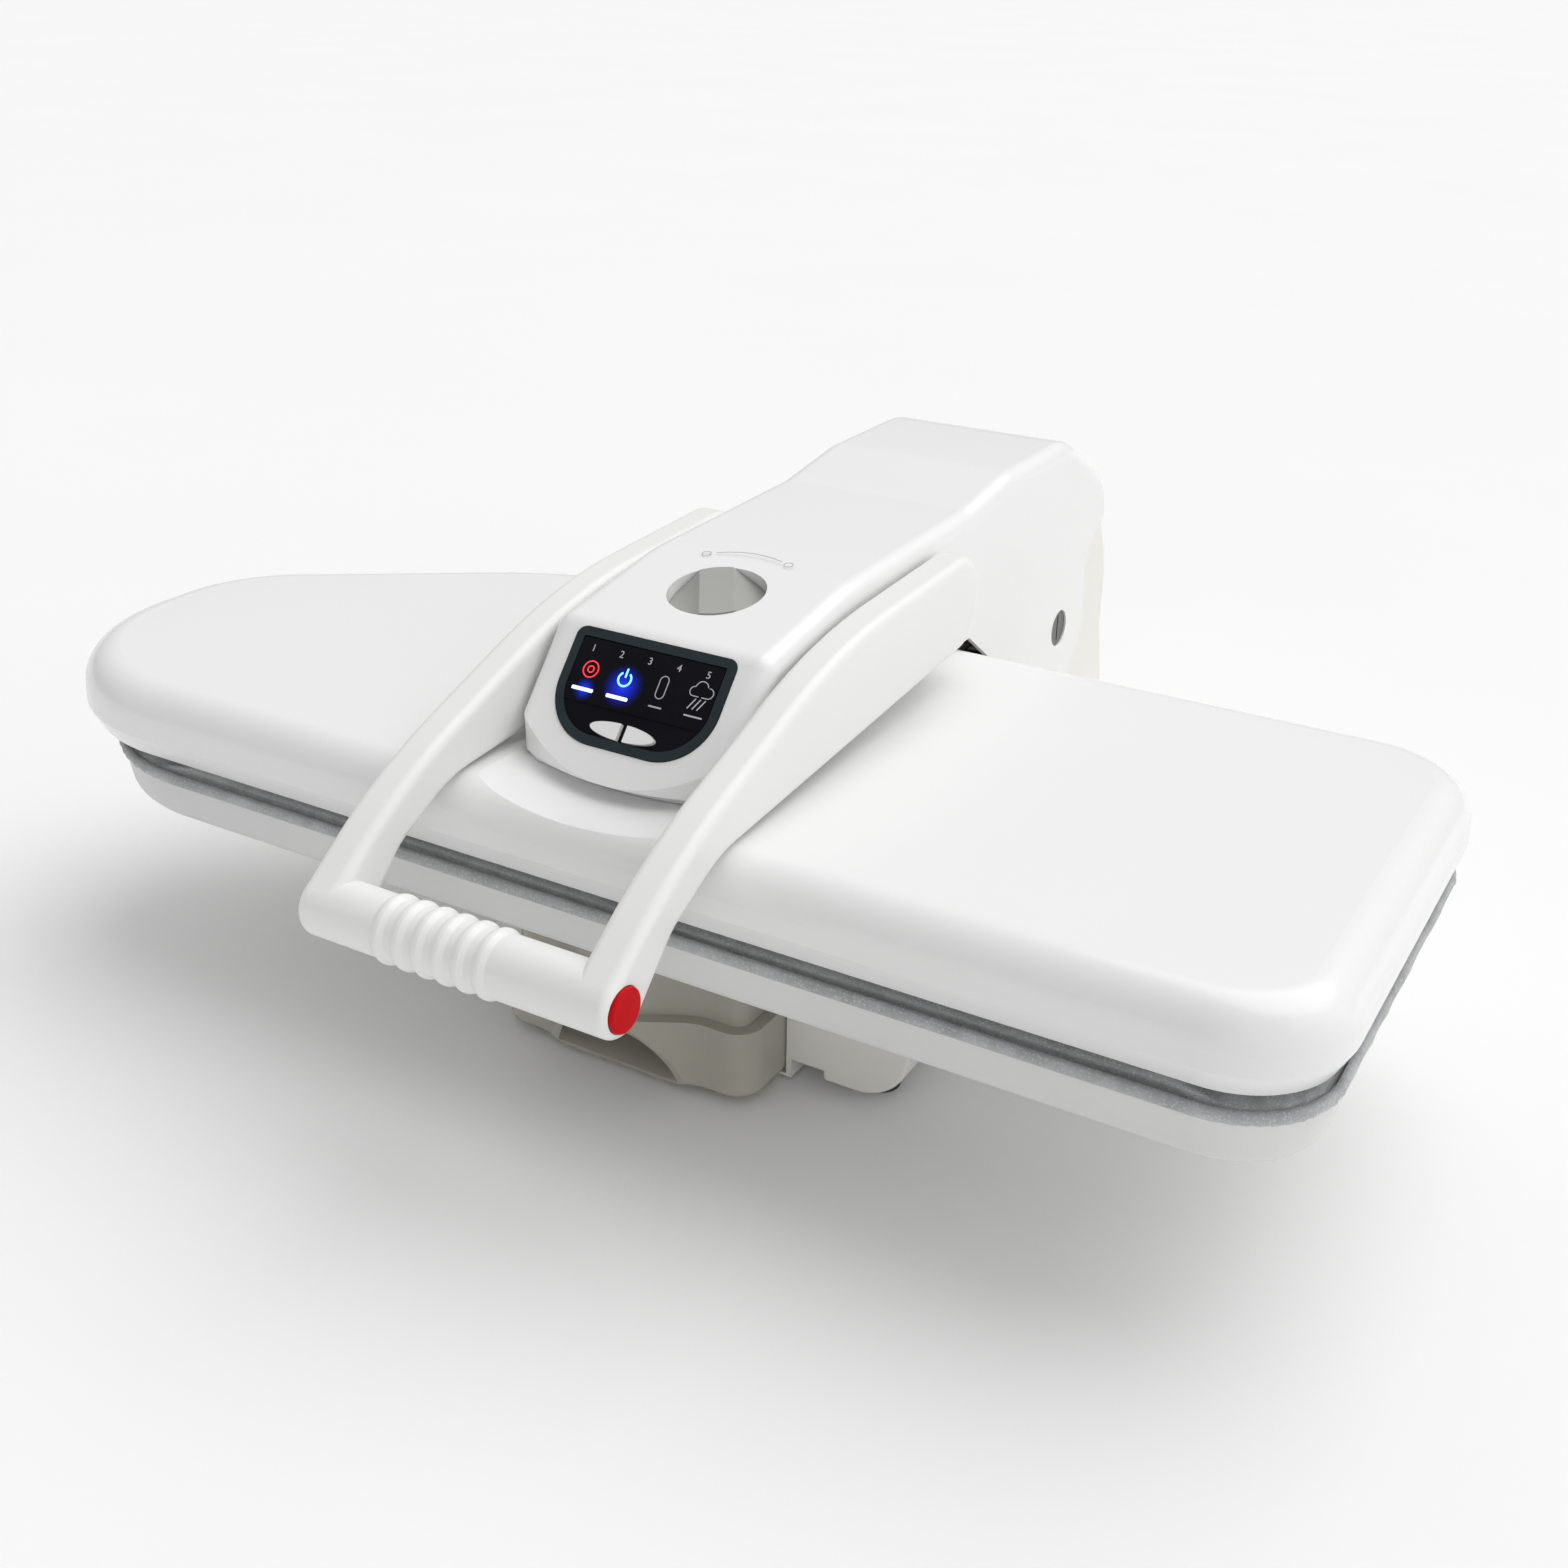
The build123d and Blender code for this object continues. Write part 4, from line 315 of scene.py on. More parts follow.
@dataclass(frozen=True)
class Finish:
    """Moulded plastic or paint.

    Attributes:
        name: the record's slot name.
        colour: base colour.
        shade: colour of the cloudy patches.
        roughness: lowest and highest roughness.
        cloud_scale: fineness of the patches.
        grain_scale: fineness of the orange peel, or of a metal's lines.
        relief: depth of the grain in metres.
        coat: weight of the clear top layer.
        metallic: plain metallic value.
        mirror: specular level, 0.5 for common plastic.
        coat_roughness: roughness of the clear top layer.
    """

    name: str
    colour: tuple[float, float, float]
    shade: tuple[float, float, float]
    roughness: tuple[float, float] = (0.3, 0.36)
    cloud_scale: float = 9.0
    grain_scale: float = 900.0
    relief: float = 0.00002
    coat: float = 0.0
    metallic: float = 0.0
    mirror: float = 0.5
    coat_roughness: float = 0.06

    def make(self) -> Material:
        """Builds the material.

        Returns:
            The new material.
        """
        material = bpy.data.materials.new("press_" + self.name)
        material.use_nodes = True
        sheet = MaterialSheet(material.node_tree)
        sheet.plug(sheet.shader, Metallic=self.metallic, Coat_Weight=self.coat,
                   Coat_Roughness=self.coat_roughness, Specular_IOR_Level=self.mirror)
        self.paint(sheet)
        return material

    def paint(self, sheet: MaterialSheet) -> None:
        """Gives the material its own surface.

        Args:
            sheet: the material's node sheet.
        """
        skin = self.skin(sheet)
        cloud = skin.outputs["Cloud"]
        sheet.plug(sheet.shader, Base_Color=self.tint(sheet, cloud, cloud))
        self.bump(sheet, skin.outputs["Height"])

    def skin(self, sheet: MaterialSheet) -> Node:
        """Adds the moulded surface's node group."""
        return sheet.add("ShaderNodeGroup", {"node_tree": Effects.moulded()}, Vector=sheet.place,
                         Cloud_Scale=self.cloud_scale, Grain_Scale=self.grain_scale)

    def tint(self, sheet: MaterialSheet, patches: NodeSocket, wear: NodeSocket) -> NodeSocket:
        """Sets the roughness and mixes the two colours.

        Args:
            sheet: the material's node sheet.
            patches: mask between the two colours.
            wear: mask between the two roughnesses.

        Returns:
            The mixed colour's socket.
        """
        low, high = self.roughness
        sheet.plug(sheet.shader, Roughness=sheet.ranged(wear, To_Min=low, To_Max=high))
        return sheet.blend(patches, rgba(self.colour), rgba(self.shade))

    def bump(self, sheet: MaterialSheet, height: NodeSocket) -> None:
        """Feeds a height to the shader's normal.

        Args:
            sheet: the material's node sheet.
            height: the height's socket.
        """
        node = sheet.add("ShaderNodeBump", Height=height, Strength=1.0, Distance=self.relief)
        sheet.plug(sheet.shader, Normal=node.outputs[0])


@dataclass(frozen=True)
class MetalFinish(Finish):
    """Drawn, rolled or machined metal.

    Attributes:
        lay: axis that its lines run along.
    """

    lay: Lay = Lay.ALONG_X
    metallic: float = 1.0
    roughness: tuple[float, float] = (0.25, 0.45)
    grain_scale: float = 700.0
    relief: float = 0.00001

    def paint(self, sheet: MaterialSheet) -> None:
        """Gives the material its drawn lines and stains.

        Args:
            sheet: the material's node sheet.
        """
        metal = sheet.add("ShaderNodeGroup", {"node_tree": Effects.drawn()}, Vector=sheet.place,
                          Stretch=self.lay.value, Scale=self.grain_scale)
        sheet.plug(sheet.shader,
                   Base_Color=self.tint(sheet, metal.outputs["Stain"], metal.outputs["Lines"]))
        self.bump(sheet, metal.outputs["Lines"])


@dataclass(frozen=True)
class ClothFinish(Finish):
    """Woven cloth or felt with speckles.

    Attributes:
        thread_scale: fineness of the threads.
        speckle_scale: fineness of the speckles.
        sheen: weight of the fuzz.
    """

    thread_scale: float = 420.0
    speckle_scale: float = 700.0
    sheen: float = 0.3
    roughness: tuple[float, float] = (0.6, 0.85)
    relief: float = 0.0002

    def paint(self, sheet: MaterialSheet) -> None:
        """Gives the material its threads, speckles and fuzz.

        Args:
            sheet: the material's node sheet.
        """
        cloth = sheet.add("ShaderNodeGroup", {"node_tree": Effects.weave()}, Vector=sheet.place,
                          Thread_Scale=self.thread_scale, Speckle_Scale=self.speckle_scale)
        sheet.plug(sheet.shader, Sheen_Weight=self.sheen,
                   Base_Color=self.tint(sheet, cloth.outputs["Speckle"], cloth.outputs["Thread"]))
        self.bump(sheet, cloth.outputs["Height"])


@dataclass(frozen=True)
class ClearFinish(Finish):
    """Clear tinted moulding, a little milky.

    Attributes:
        clarity: share of the light that goes through.
        bend: index of refraction, low because the walls are thin.
    """

    clarity: float = 0.65
    bend: float = 1.2

    def paint(self, sheet: MaterialSheet) -> None:
        """Gives the material its moulded surface and lets light through.

        Args:
            sheet: the material's node sheet.
        """
        super().paint(sheet)
        sheet.plug(sheet.shader, Transmission_Weight=self.clarity, IOR=self.bend)


@dataclass(frozen=True)
class GlowFinish(Finish):
    """Printed or lit mark on the display.

    Attributes:
        strength: how strongly it glows.
    """

    strength: float = 2.0

    def paint(self, sheet: MaterialSheet) -> None:
        """Gives the material its glow.

        Args:
            sheet: the material's node sheet.
        """
        cloud = self.skin(sheet).outputs["Cloud"]
        tint = self.tint(sheet, cloud, cloud)
        sheet.plug(sheet.shader, Base_Color=tint, Emission_Color=tint, Emission_Strength=self.strength)


@dataclass(frozen=True)
class HaloFinish(GlowFinish):
    """Glow round a lit mark, that fades out over a disc given in the piece's UV map.

    Attributes:
        falloff: power of the fade.
    """

    strength: float = 1.0
    mirror: float = 0.1
    falloff: float = 1.6

    def paint(self, sheet: MaterialSheet) -> None:
        """Gives the material its fading glow.

        Args:
            sheet: the material's node sheet.
        """
        cloud = self.skin(sheet).outputs["Cloud"]
        tint = self.tint(sheet, cloud, cloud)
        disc = sheet.add("ShaderNodeTexCoord").outputs["UV"]
        centred = sheet.add("ShaderNodeMapping", Vector=disc, Location=(-1.0, -1.0, 0.0),
                            Scale=(2.0, 2.0, 1.0))
        fade = sheet.add("ShaderNodeTexGradient", {"gradient_type": "SPHERICAL"}, Vector=centred.outputs[0])
        soft = sheet.maths("POWER", fade.outputs["Fac"], self.falloff)
        sheet.plug(sheet.shader, Base_Color=rgba(SCREEN_BLACK), Emission_Strength=self.strength,
                   Emission_Color=sheet.blend(soft, rgba(BLACK), tint))


FINISHES = (
    Finish("white_shell", (0.88, 0.88, 0.88), (0.865, 0.866, 0.864), (0.22, 0.27), 5.0, 500.0, 0.00001,
           coat=0.25),
    Finish("satin_white", (0.87, 0.87, 0.855), (0.855, 0.854, 0.835), (0.3, 0.36), 7.0, 1400.0, coat=0.15),
    Finish("cream_plastic", (0.84, 0.832, 0.79), (0.82, 0.81, 0.765), (0.26, 0.34), 7.0, 900.0, coat=0.2),
    Finish("pan_paint", (0.74, 0.745, 0.735), (0.7, 0.705, 0.7), (0.38, 0.5), 14.0, 1500.0, 0.00006),
    ClothFinish("silver_cloth", (0.60, 0.61, 0.62), (0.30, 0.305, 0.31), sheen=0.4),
    ClothFinish("felt", (0.8, 0.78, 0.72), (0.6, 0.57, 0.5), (0.85, 0.95), thread_scale=160.0),
    MetalFinish("plate_aluminium", (0.78, 0.78, 0.79), (0.7, 0.7, 0.71), (0.2, 0.4)),
    MetalFinish("bare_steel", (0.62, 0.62, 0.63), (0.48, 0.47, 0.45), lay=Lay.ALONG_Y),
    MetalFinish("brass", (0.72, 0.56, 0.28), (0.58, 0.43, 0.2), lay=Lay.ALONG_Z),
    Finish("bezel_dark", (0.020, 0.032, 0.038), (0.016, 0.026, 0.031), (0.3, 0.4), 30.0, 2400.0, mirror=0.25),
    Finish("panel_black", SCREEN_BLACK, (0.005, 0.005, 0.009), (0.12, 0.16), 20.0, 600.0, 0.000004,
           mirror=0.1),
    Finish("button_white", (0.9, 0.9, 0.9), (0.86, 0.86, 0.86), (0.2, 0.26), 40.0, 1500.0, 0.00001, coat=0.4),
    Finish("knob_grey", (0.38, 0.385, 0.36), (0.345, 0.35, 0.325), (0.3, 0.38), 25.0, 2200.0, 0.00003),
    Finish("nylon", (0.82, 0.8, 0.74), (0.76, 0.74, 0.67), (0.4, 0.5), 20.0, 1600.0),
    Finish("button_red", (0.60, 0.005, 0.010), (0.53, 0.004, 0.008), (0.3, 0.38), 60.0, 2000.0, coat=0.05,
           mirror=0.06),
    Finish("circuit_green", (0.03, 0.19, 0.08), (0.1, 0.3, 0.14), (0.3, 0.5), 160.0, 900.0),
    ClearFinish("smoke_clear", (0.90, 0.875, 0.80), (0.87, 0.84, 0.76), (0.16, 0.24), 12.0, 500.0, 0.00001),
    Finish("cap_white", (0.85, 0.85, 0.82), (0.8, 0.8, 0.77), (0.35, 0.45), 30.0, 1800.0),
    Finish("rubber_black", (0.035, 0.035, 0.036), (0.05, 0.05, 0.05), (0.6, 0.8), 60.0, 2600.0, 0.00005),
    Finish("hose_silicone", (0.78, 0.78, 0.76), (0.7, 0.7, 0.67), (0.35, 0.5), 60.0, 1800.0, 0.00003),
    Finish("cap_grey", (0.10, 0.10, 0.095), (0.13, 0.13, 0.12), (0.35, 0.45), 60.0, 2400.0, 0.00003),
    Finish("mark_grey", (0.42, 0.42, 0.42), (0.36, 0.36, 0.36), (0.4, 0.5), 60.0, 2400.0, 0.00001),
    Finish("floor_paper", (0.93, 0.93, 0.93), (0.92, 0.92, 0.92), (0.8, 0.9), 2.0, 300.0, 0.00001),
    GlowFinish("glow_blue", (0.10, 0.35, 1.0), (0.14, 0.42, 1.0), strength=2.2),
    GlowFinish("glow_white", (0.55, 0.70, 1.0), (0.5, 0.65, 1.0), strength=1.6),
    GlowFinish("glow_red", (1.0, 0.04, 0.07), (0.9, 0.03, 0.05), strength=1.0),
    GlowFinish("glow_dim", (0.34, 0.34, 0.36), (0.28, 0.28, 0.3), strength=0.5),
    HaloFinish("halo_blue", (0.01, 0.03, 0.9), (0.015, 0.04, 1.0), strength=1.1),
)


class Palette:
    """Finishes by name, each made into a material when it is first used."""

    def __init__(self) -> None:
        """Keeps the finishes and the materials made from them."""
        self.finishes = {finish.name: finish for finish in FINISHES}
        self.made: dict[str, Material] = {}

    def get(self, name: str) -> Material:
        """Gives the material of a finish.

        Args:
            name: the finish's name.

        Returns:
            Its material, the same one each time.
        """
        if name not in self.made:
            self.made[name] = self.finishes[name].make()
        return self.made[name]

    def dress_nodes(self) -> None:
        """Gives every CAD node the finish that its material slot names."""
        for name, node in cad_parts.items():
            for holder in node.material_slots:
                wanted = NODE_FINISHES.get(name, holder.material.name.split(".")[0])
                holder.material = self.get(wanted)


PALETTE = Palette()


def new_piece(name: str, bm: BMesh, finish: str, body: str,
              smooth: bool = True) -> Object:
    """Makes a mesh object from a bmesh, gives it its finish and lets it ride.

    Args:
        name: the piece's name.
        bm: the shape, which is freed.
        finish: name of the finish.
        body: the CAD body that it moves with.
        smooth: whether its faces are shaded smooth.

    Returns:
        The new object.
    """
    bmesh.ops.recalc_face_normals(bm, faces=bm.faces)
    mesh = bpy.data.meshes.new(name)
    bm.to_mesh(mesh)
    bm.free()
    for face in mesh.polygons:
        face.use_smooth = smooth
    piece = put_in_scene(name, mesh)
    mesh.materials.append(PALETTE.get(finish))
    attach(piece, body)
    log.info("%s: %d faces on %s", name, len(mesh.polygons), body)
    return piece


def bevel_sharp(bm: BMesh, width: float, segments: int, angle: float) -> None:
    """Rounds the edges whose faces meet at more than an angle.

    Args:
        bm: the shape.
        width: width of the rounding in metres.
        segments: segments of each rounding.
        angle: smallest angle between the faces, in radians.
    """
    edges = [edge for edge in bm.edges if edge.is_manifold and edge.calc_face_angle(0.0) > angle]
    bmesh.ops.bevel(bm, geom=edges, offset=width, offset_type="OFFSET", segments=segments, profile=0.5,
                    affect="EDGES", material=-1, clamp_overlap=True)


@dataclass
class PaddedBoard:
    """Padded ironing cloth on the board pan, and the hem that holds it.

    Attributes:
        cut_z: height at which the CAD cloth's outline is taken.
        cut_reach: how near the cut a point counts as on it.
        mesh_weld: distance within which the CAD mesh's points are joined.
        outline_weld: the same on the outline.
        low_z: underside of the padding, just over the pan.
        high_z: top of the padding before it swells.
        lid_z: height that the swelled top may not pass.
        inset: how far the start shape is drawn in.
        rounding: width, segments and least angle of its rounded edges.
        reach: how far a point may move.
        voxel: size of the remesh.
        held_height: height of the underside's band that stays where it is.
        pressure: force with which the cloth swells.
        frames: length of the cloth's run.
        crown_middle: middle of the crowned top.
        crown_half: half length and half depth of the crown.
        crown_fall: how much lower the lid lies at its rim.
        hem_middle: a point inside the outline.
        hem_edge: longest edge of the outline that isn't divided for the hem.
        hem_cuts: cuts of a longer edge.
        hem_steps: the hem's profile, as rises over the underside and steps outwards.
        hem_wall: thickness of the hem.
        pucker: depth of the hem's gathers.
        pucker_waves: gathers in radians per metre, along x and along y.
        pucker_start: phase of the gathers along y, in radians.
    """

    cut_z: float = 0.107
    cut_reach: float = 0.000001
    mesh_weld: float = 0.000005
    outline_weld: float = 0.00005
    low_z: float = 0.1073
    high_z: float = 0.1146
    lid_z: float = 0.1167
    inset: float = 0.0012
    rounding: tuple[float, int, float] = (0.003, 3, 1.2)
    reach: float = 0.0045
    voxel: float = 0.0045
    held_height: float = 0.0006
    pressure: float = 4.0
    frames: int = 20
    crown_middle: tuple[float, float] = (0.02, -0.07)
    crown_half: tuple[float, float] = (0.36, 0.16)
    crown_fall: float = 0.0011
    hem_middle: tuple[float, float] = (0.0, -0.071)
    hem_edge: float = 0.008
    hem_cuts: int = 6
    hem_steps: tuple[tuple[float, float], ...] = (
        (0.0034, -0.0030), (0.0028, 0.0020), (0.0018, 0.0009), (0.0006, 0.0), (-0.0004, -0.0007))
    hem_wall: float = 0.0012
    pucker: float = 0.00015
    pucker_waves: tuple[float, float] = (900.0, 820.0)
    pucker_start: float = 1.0

    def outline(self) -> BMesh:
        """Takes the CAD cloth's outer outline.

        Returns:
            The outline as one loop of edges.
        """
        bm = bmesh.new()
        bm.from_mesh(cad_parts["pad_cloth"].data)
        bmesh.ops.remove_doubles(bm, verts=bm.verts, dist=self.mesh_weld)
        parts = bm.verts[:] + bm.edges[:] + bm.faces[:]
        bmesh.ops.bisect_plane(bm, geom=parts, dist=self.cut_reach, plane_co=(0, 0, self.cut_z),
                               plane_no=(0, 0, 1), clear_inner=True, clear_outer=True)
        bmesh.ops.remove_doubles(bm, verts=bm.verts, dist=self.outline_weld)
        loops, left = [], set(bm.verts)
        while left:
            queue, loop = [left.pop()], []
            while queue:
                vert = queue.pop()
                loop.append(vert)
                for edge in vert.link_edges:
                    other = edge.other_vert(vert)
                    if other in left:
                        left.remove(other)
                        queue.append(other)
            loops.append(loop)
        loops.sort(key=lambda verts: max(vert.co.x for vert in verts) - min(vert.co.x for vert in verts))
        bmesh.ops.delete(bm, geom=[vert for loop in loops[:-1] for vert in loop], context="VERTS")
        return bm

    def block(self) -> BMesh:
        """Raises the outline into a low block with rounded edges.

        Returns:
            The block.
        """
        bm = self.outline()
        face = bmesh.ops.contextual_create(bm, geom=bm.edges[:])["faces"]
        bmesh.ops.inset_region(bm, faces=face, thickness=self.inset, use_even_offset=True, use_boundary=True)
        rim = [side for side in bm.faces if side not in face and len(side.verts) == 4]
        bmesh.ops.delete(bm, geom=rim, context="FACES")
        for vert in bm.verts:
            vert.co.z = self.low_z
        raise_faces(bm, self.high_z - self.low_z)
        bmesh.ops.recalc_face_normals(bm, faces=bm.faces)
        bevel_sharp(bm, *self.rounding)
        return bm

    def swell(self, piece: Object) -> None:
        """Remeshes the block and lets it swell as cloth under pressure.

        Args:
            piece: the block's object, whose mesh is changed.
        """
        remesh = piece.modifiers.new("even", "REMESH")
        remesh.mode = "VOXEL"
        remesh.voxel_size = self.voxel
        self.apply(piece)
        before = [vert.co.copy() for vert in piece.data.vertices]
        held = piece.vertex_groups.new(name="held")
        band_top = self.low_z + self.held_height
        low = [vert.index for vert in piece.data.vertices if vert.co.z < band_top]
        held.add(low, 1.0, "REPLACE")
        cloth = piece.modifiers.new("swell", "CLOTH")
        cloth.settings.use_pressure = True
        cloth.settings.uniform_pressure_force = self.pressure
        cloth.settings.effector_weights.gravity = 0.0
        cloth.settings.vertex_group_mass = "held"
        for step in range(self.frames):
            bpy.context.scene.frame_set(step + 1)
        self.apply(piece)
        bpy.context.scene.frame_set(1)
        for vert, start in zip(piece.data.vertices, before):
            move = vert.co - start
            if move.length > self.reach:
                vert.co = start + move * (self.reach / move.length)
        for vert in piece.data.vertices:
            shares = [(place - middle) / half
                      for place, middle, half in zip(vert.co, self.crown_middle, self.crown_half)]
            ceiling = self.lid_z - self.crown_fall * min(1.0, Vector(shares).length) ** 2
            vert.co.z = max(self.low_z, min(vert.co.z, ceiling))

    @staticmethod
    def apply(piece: Object) -> None:
        """Puts the modifiers' result into the mesh and removes them.

        Args:
            piece: the object.
        """
        result = bpy.data.meshes.new_from_object(piece.evaluated_get(bpy.context.evaluated_depsgraph_get()))
        piece.modifiers.clear()
        piece.data = result

    def build(self) -> None:
        """Builds the padding and its hem."""
        pad = new_piece("ironing_pad", self.block(), "silver_cloth", "root")
        self.swell(pad)
        for face in pad.data.polygons:
            face.use_smooth = True
        pad.modifiers.new("finer", "SUBSURF").render_levels = 1
        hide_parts("pad_cloth", "pad_felt")
        self.hem()

    def hem(self) -> None:
        """Builds the gathered hem that wraps the pan's upper edge."""
        bm = self.outline()
        long_edges = [edge for edge in bm.edges if edge.calc_length() > self.hem_edge]
        bmesh.ops.subdivide_edges(bm, edges=long_edges, cuts=self.hem_cuts)
        middle = Vector((*self.hem_middle, self.low_z))
        sides = {}
        for vert in bm.verts:
            first, second = (edge.other_vert(vert).co for edge in vert.link_edges)
            side = Vector((first.y - second.y, second.x - first.x, 0.0)).normalized()
            sides[vert] = side if side.dot(vert.co - middle) > 0 else -side
        edges, ring = bm.edges[:], bm.verts[:]
        for index, (rise, step) in enumerate(self.hem_steps):
            if index:
                made = bmesh.ops.extrude_edge_only(bm, edges=edges)["geom"]
                edges = of_kind(made, BMEdge)
                ring = of_kind(made, BMVert)
                risers = [edge for vert in ring for edge in vert.link_edges if edge not in edges]
                for vert, riser in zip(ring, risers):
                    sides[vert] = sides[riser.other_vert(vert)]
            for vert in ring:
                across = math.sin(vert.co.x * self.pucker_waves[0])
                along = math.sin(vert.co.y * self.pucker_waves[1] + self.pucker_start)
                vert.co += sides[vert] * (self.pucker * across * along + step)
                vert.co.z = self.low_z + rise
        hem = new_piece("pad_hem", bm, "silver_cloth", "root")
        wall = hem.modifiers.new("wall", "SOLIDIFY")
        wall.thickness = self.hem_wall
        wall.offset = 0.0


@dataclass
class LiftSprings:
    """Pair of torsion springs wound round the hinge shaft.

    Attributes:
        centre: middle of the hinge shaft, as y and z.
        radius: mean radius of the coil.
        wire: radius of the wire.
        inner: distance of the coil's inner end from the arm's middle.
        outer: distance of its outer end.
        turns: full turns, with half a turn more between the legs.
        turn_steps: steps of a full turn.
        wire_sides: sides of the wire.
        upper_leg: length of the leg under the head's pin.
        lower_leg: length of the leg on the bracket's bar.
    """

    centre: tuple[float, float] = (0.191, 0.120)
    radius: float = 0.015
    wire: float = 0.00175
    inner: float = 0.00675
    outer: float = 0.03125
    turns: int = 6
    turn_steps: int = 24
    wire_sides: int = 10
    upper_leg: float = 0.056
    lower_leg: float = 0.041

    def one(self, bm: BMesh, side: int) -> None:
        """Winds one spring into a bmesh.

        Args:
            bm: the mesh that it is added to.
            side: -1 for the left spring, 1 for the right.
        """
        y, z = self.centre
        steps = self.turn_steps * self.turns + self.turn_steps // 2
        start_x = ARM_X + side * self.outer
        run = side * (self.inner - self.outer)
        top = Matrix.Translation((start_x, y, z + self.radius)) @ Matrix.Rotation(math.pi / 2, 4, "X")
        ring = bmesh.ops.create_circle(bm, segments=self.wire_sides, radius=self.wire, matrix=top)["verts"]
        first = list({edge for vert in ring for edge in vert.link_edges})
        turned = bmesh.ops.spin(bm, geom=first, cent=(start_x, y, z), axis=(-1, 0, 0),
                                dvec=(run / steps, 0, 0), angle=2 * math.pi * (self.turns + 0.5),
                                steps=steps, use_merge=False)
        last = of_kind(turned["geom_last"], BMEdge)
        for edges, length in ((first, self.upper_leg), (last, self.lower_leg)):
            made = bmesh.ops.extrude_edge_only(bm, edges=edges)["geom"]
            verts = of_kind(made, BMVert)
            rim = [edge for edge in of_kind(made, BMEdge)
                   if edge.verts[0] in verts and edge.verts[1] in verts]
            bmesh.ops.translate(bm, verts=verts, vec=(0, -length, 0))
            bmesh.ops.edgeloop_fill(bm, edges=rim)

    def build(self) -> None:
        """Builds both springs as one piece."""
        bm = bmesh.new()
        for side in (-1, 1):
            self.one(bm, side)
        springs = new_piece("wound_springs", bm, "bare_steel", "root")
        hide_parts("lift_springs")


@dataclass(frozen=True)
class Sign:
    """Marks of one finish on the display, in millimetres of the panel's plane.

    Attributes:
        name: the piece's name.
        finish: name of the finish.
        rings: middle across and up, outer and inner radius, start and sweep in degrees.
        bars: middle across and up, length, width and turn in degrees.
        numbers: text, middle across and up, and size.
    """

    name: str
    finish: str
    rings: tuple[tuple[float, ...], ...] = ()
    bars: tuple[tuple[float, ...], ...] = ()
    numbers: tuple[tuple[str, float, float, float], ...] = ()


# Name, middle across and up, and radius of each glow, in millimetres.
HALOS = (("power_halo", -8.6, 43.6, 10.4), ("wait_halo", -26.6, 38.4, 5.6))
SIGNS = (
    Sign("wait_light", "glow_red",
         ((-27.0, 47.6, 4.0, 3.45, 0.0, 360.0), (-27.0, 47.6, 1.75, 1.2, 0.0, 360.0))),
    Sign("power_light", "glow_blue",
         ((-9.0, 46.8, 3.6, 2.7, 125.0, 290.0),), ((-9.0, 49.6, 4.2, 0.9, 90.0),)),
    Sign("light_bars", "glow_white", (), ((-27.5, 38.2, 11.0, 1.6, 0.0), (-9.5, 38.2, 11.0, 1.6, 0.0))),
    Sign("dim_marks", "glow_dim",
         ((10.0, 50.2, 2.3, 1.9, 0.0, 180.0), (10.0, 44.2, 2.3, 1.9, 180.0, 180.0),
          (25.4, 49.1, 2.3, 1.9, 90.0, 180.0), (28.4, 51.0, 3.2, 2.8, 15.0, 160.0),
          (32.4, 49.3, 2.5, 2.1, -90.0, 190.0)),
         ((12.1, 47.2, 6.1, 0.42, 90.0), (7.9, 47.2, 6.1, 0.42, 90.0),
          (26.8, 47.0, 3.0, 0.42, 0.0), (31.2, 47.0, 3.0, 0.42, 0.0),
          (26.2, 43.6, 5.6, 0.55, 62.0), (28.6, 43.6, 5.6, 0.55, 62.0), (31.0, 43.6, 5.6, 0.55, 62.0),
          (10.0, 38.2, 6.5, 0.7, 0.0), (29.0, 38.2, 9.0, 0.7, 0.0)),
         tuple((str(index + 1), -29.5 + 14.7 * index, 57.0, 4.6) for index in range(5))),
)


def flat_ring(bm: BMesh, u: float, v: float, outer: float, inner: float,
              start: float, sweep: float) -> None:
    """Adds a flat ring or a part of one, by spinning a short edge.

    Args:
        bm: the mesh that it is added to.
        u: middle, across.
        v: middle, up.
        outer: outer radius.
        inner: inner radius.
        start: angle at which it starts, in degrees.
        sweep: angle that it covers, in degrees.
    """
    angle = math.radians(start)
    middle, way = Vector((u, v, 0)), Vector((math.cos(angle), math.sin(angle), 0))
    edge = bm.edges.new([bm.verts.new(middle + reach * way) for reach in (inner, outer)])
    bmesh.ops.spin(bm, geom=[edge], cent=(u, v, 0), axis=(0, 0, 1), angle=math.radians(sweep),
                   steps=max(RING_LEAST_STEPS, int(abs(sweep) / RING_STEP)), use_merge=sweep >= FULL_TURN)


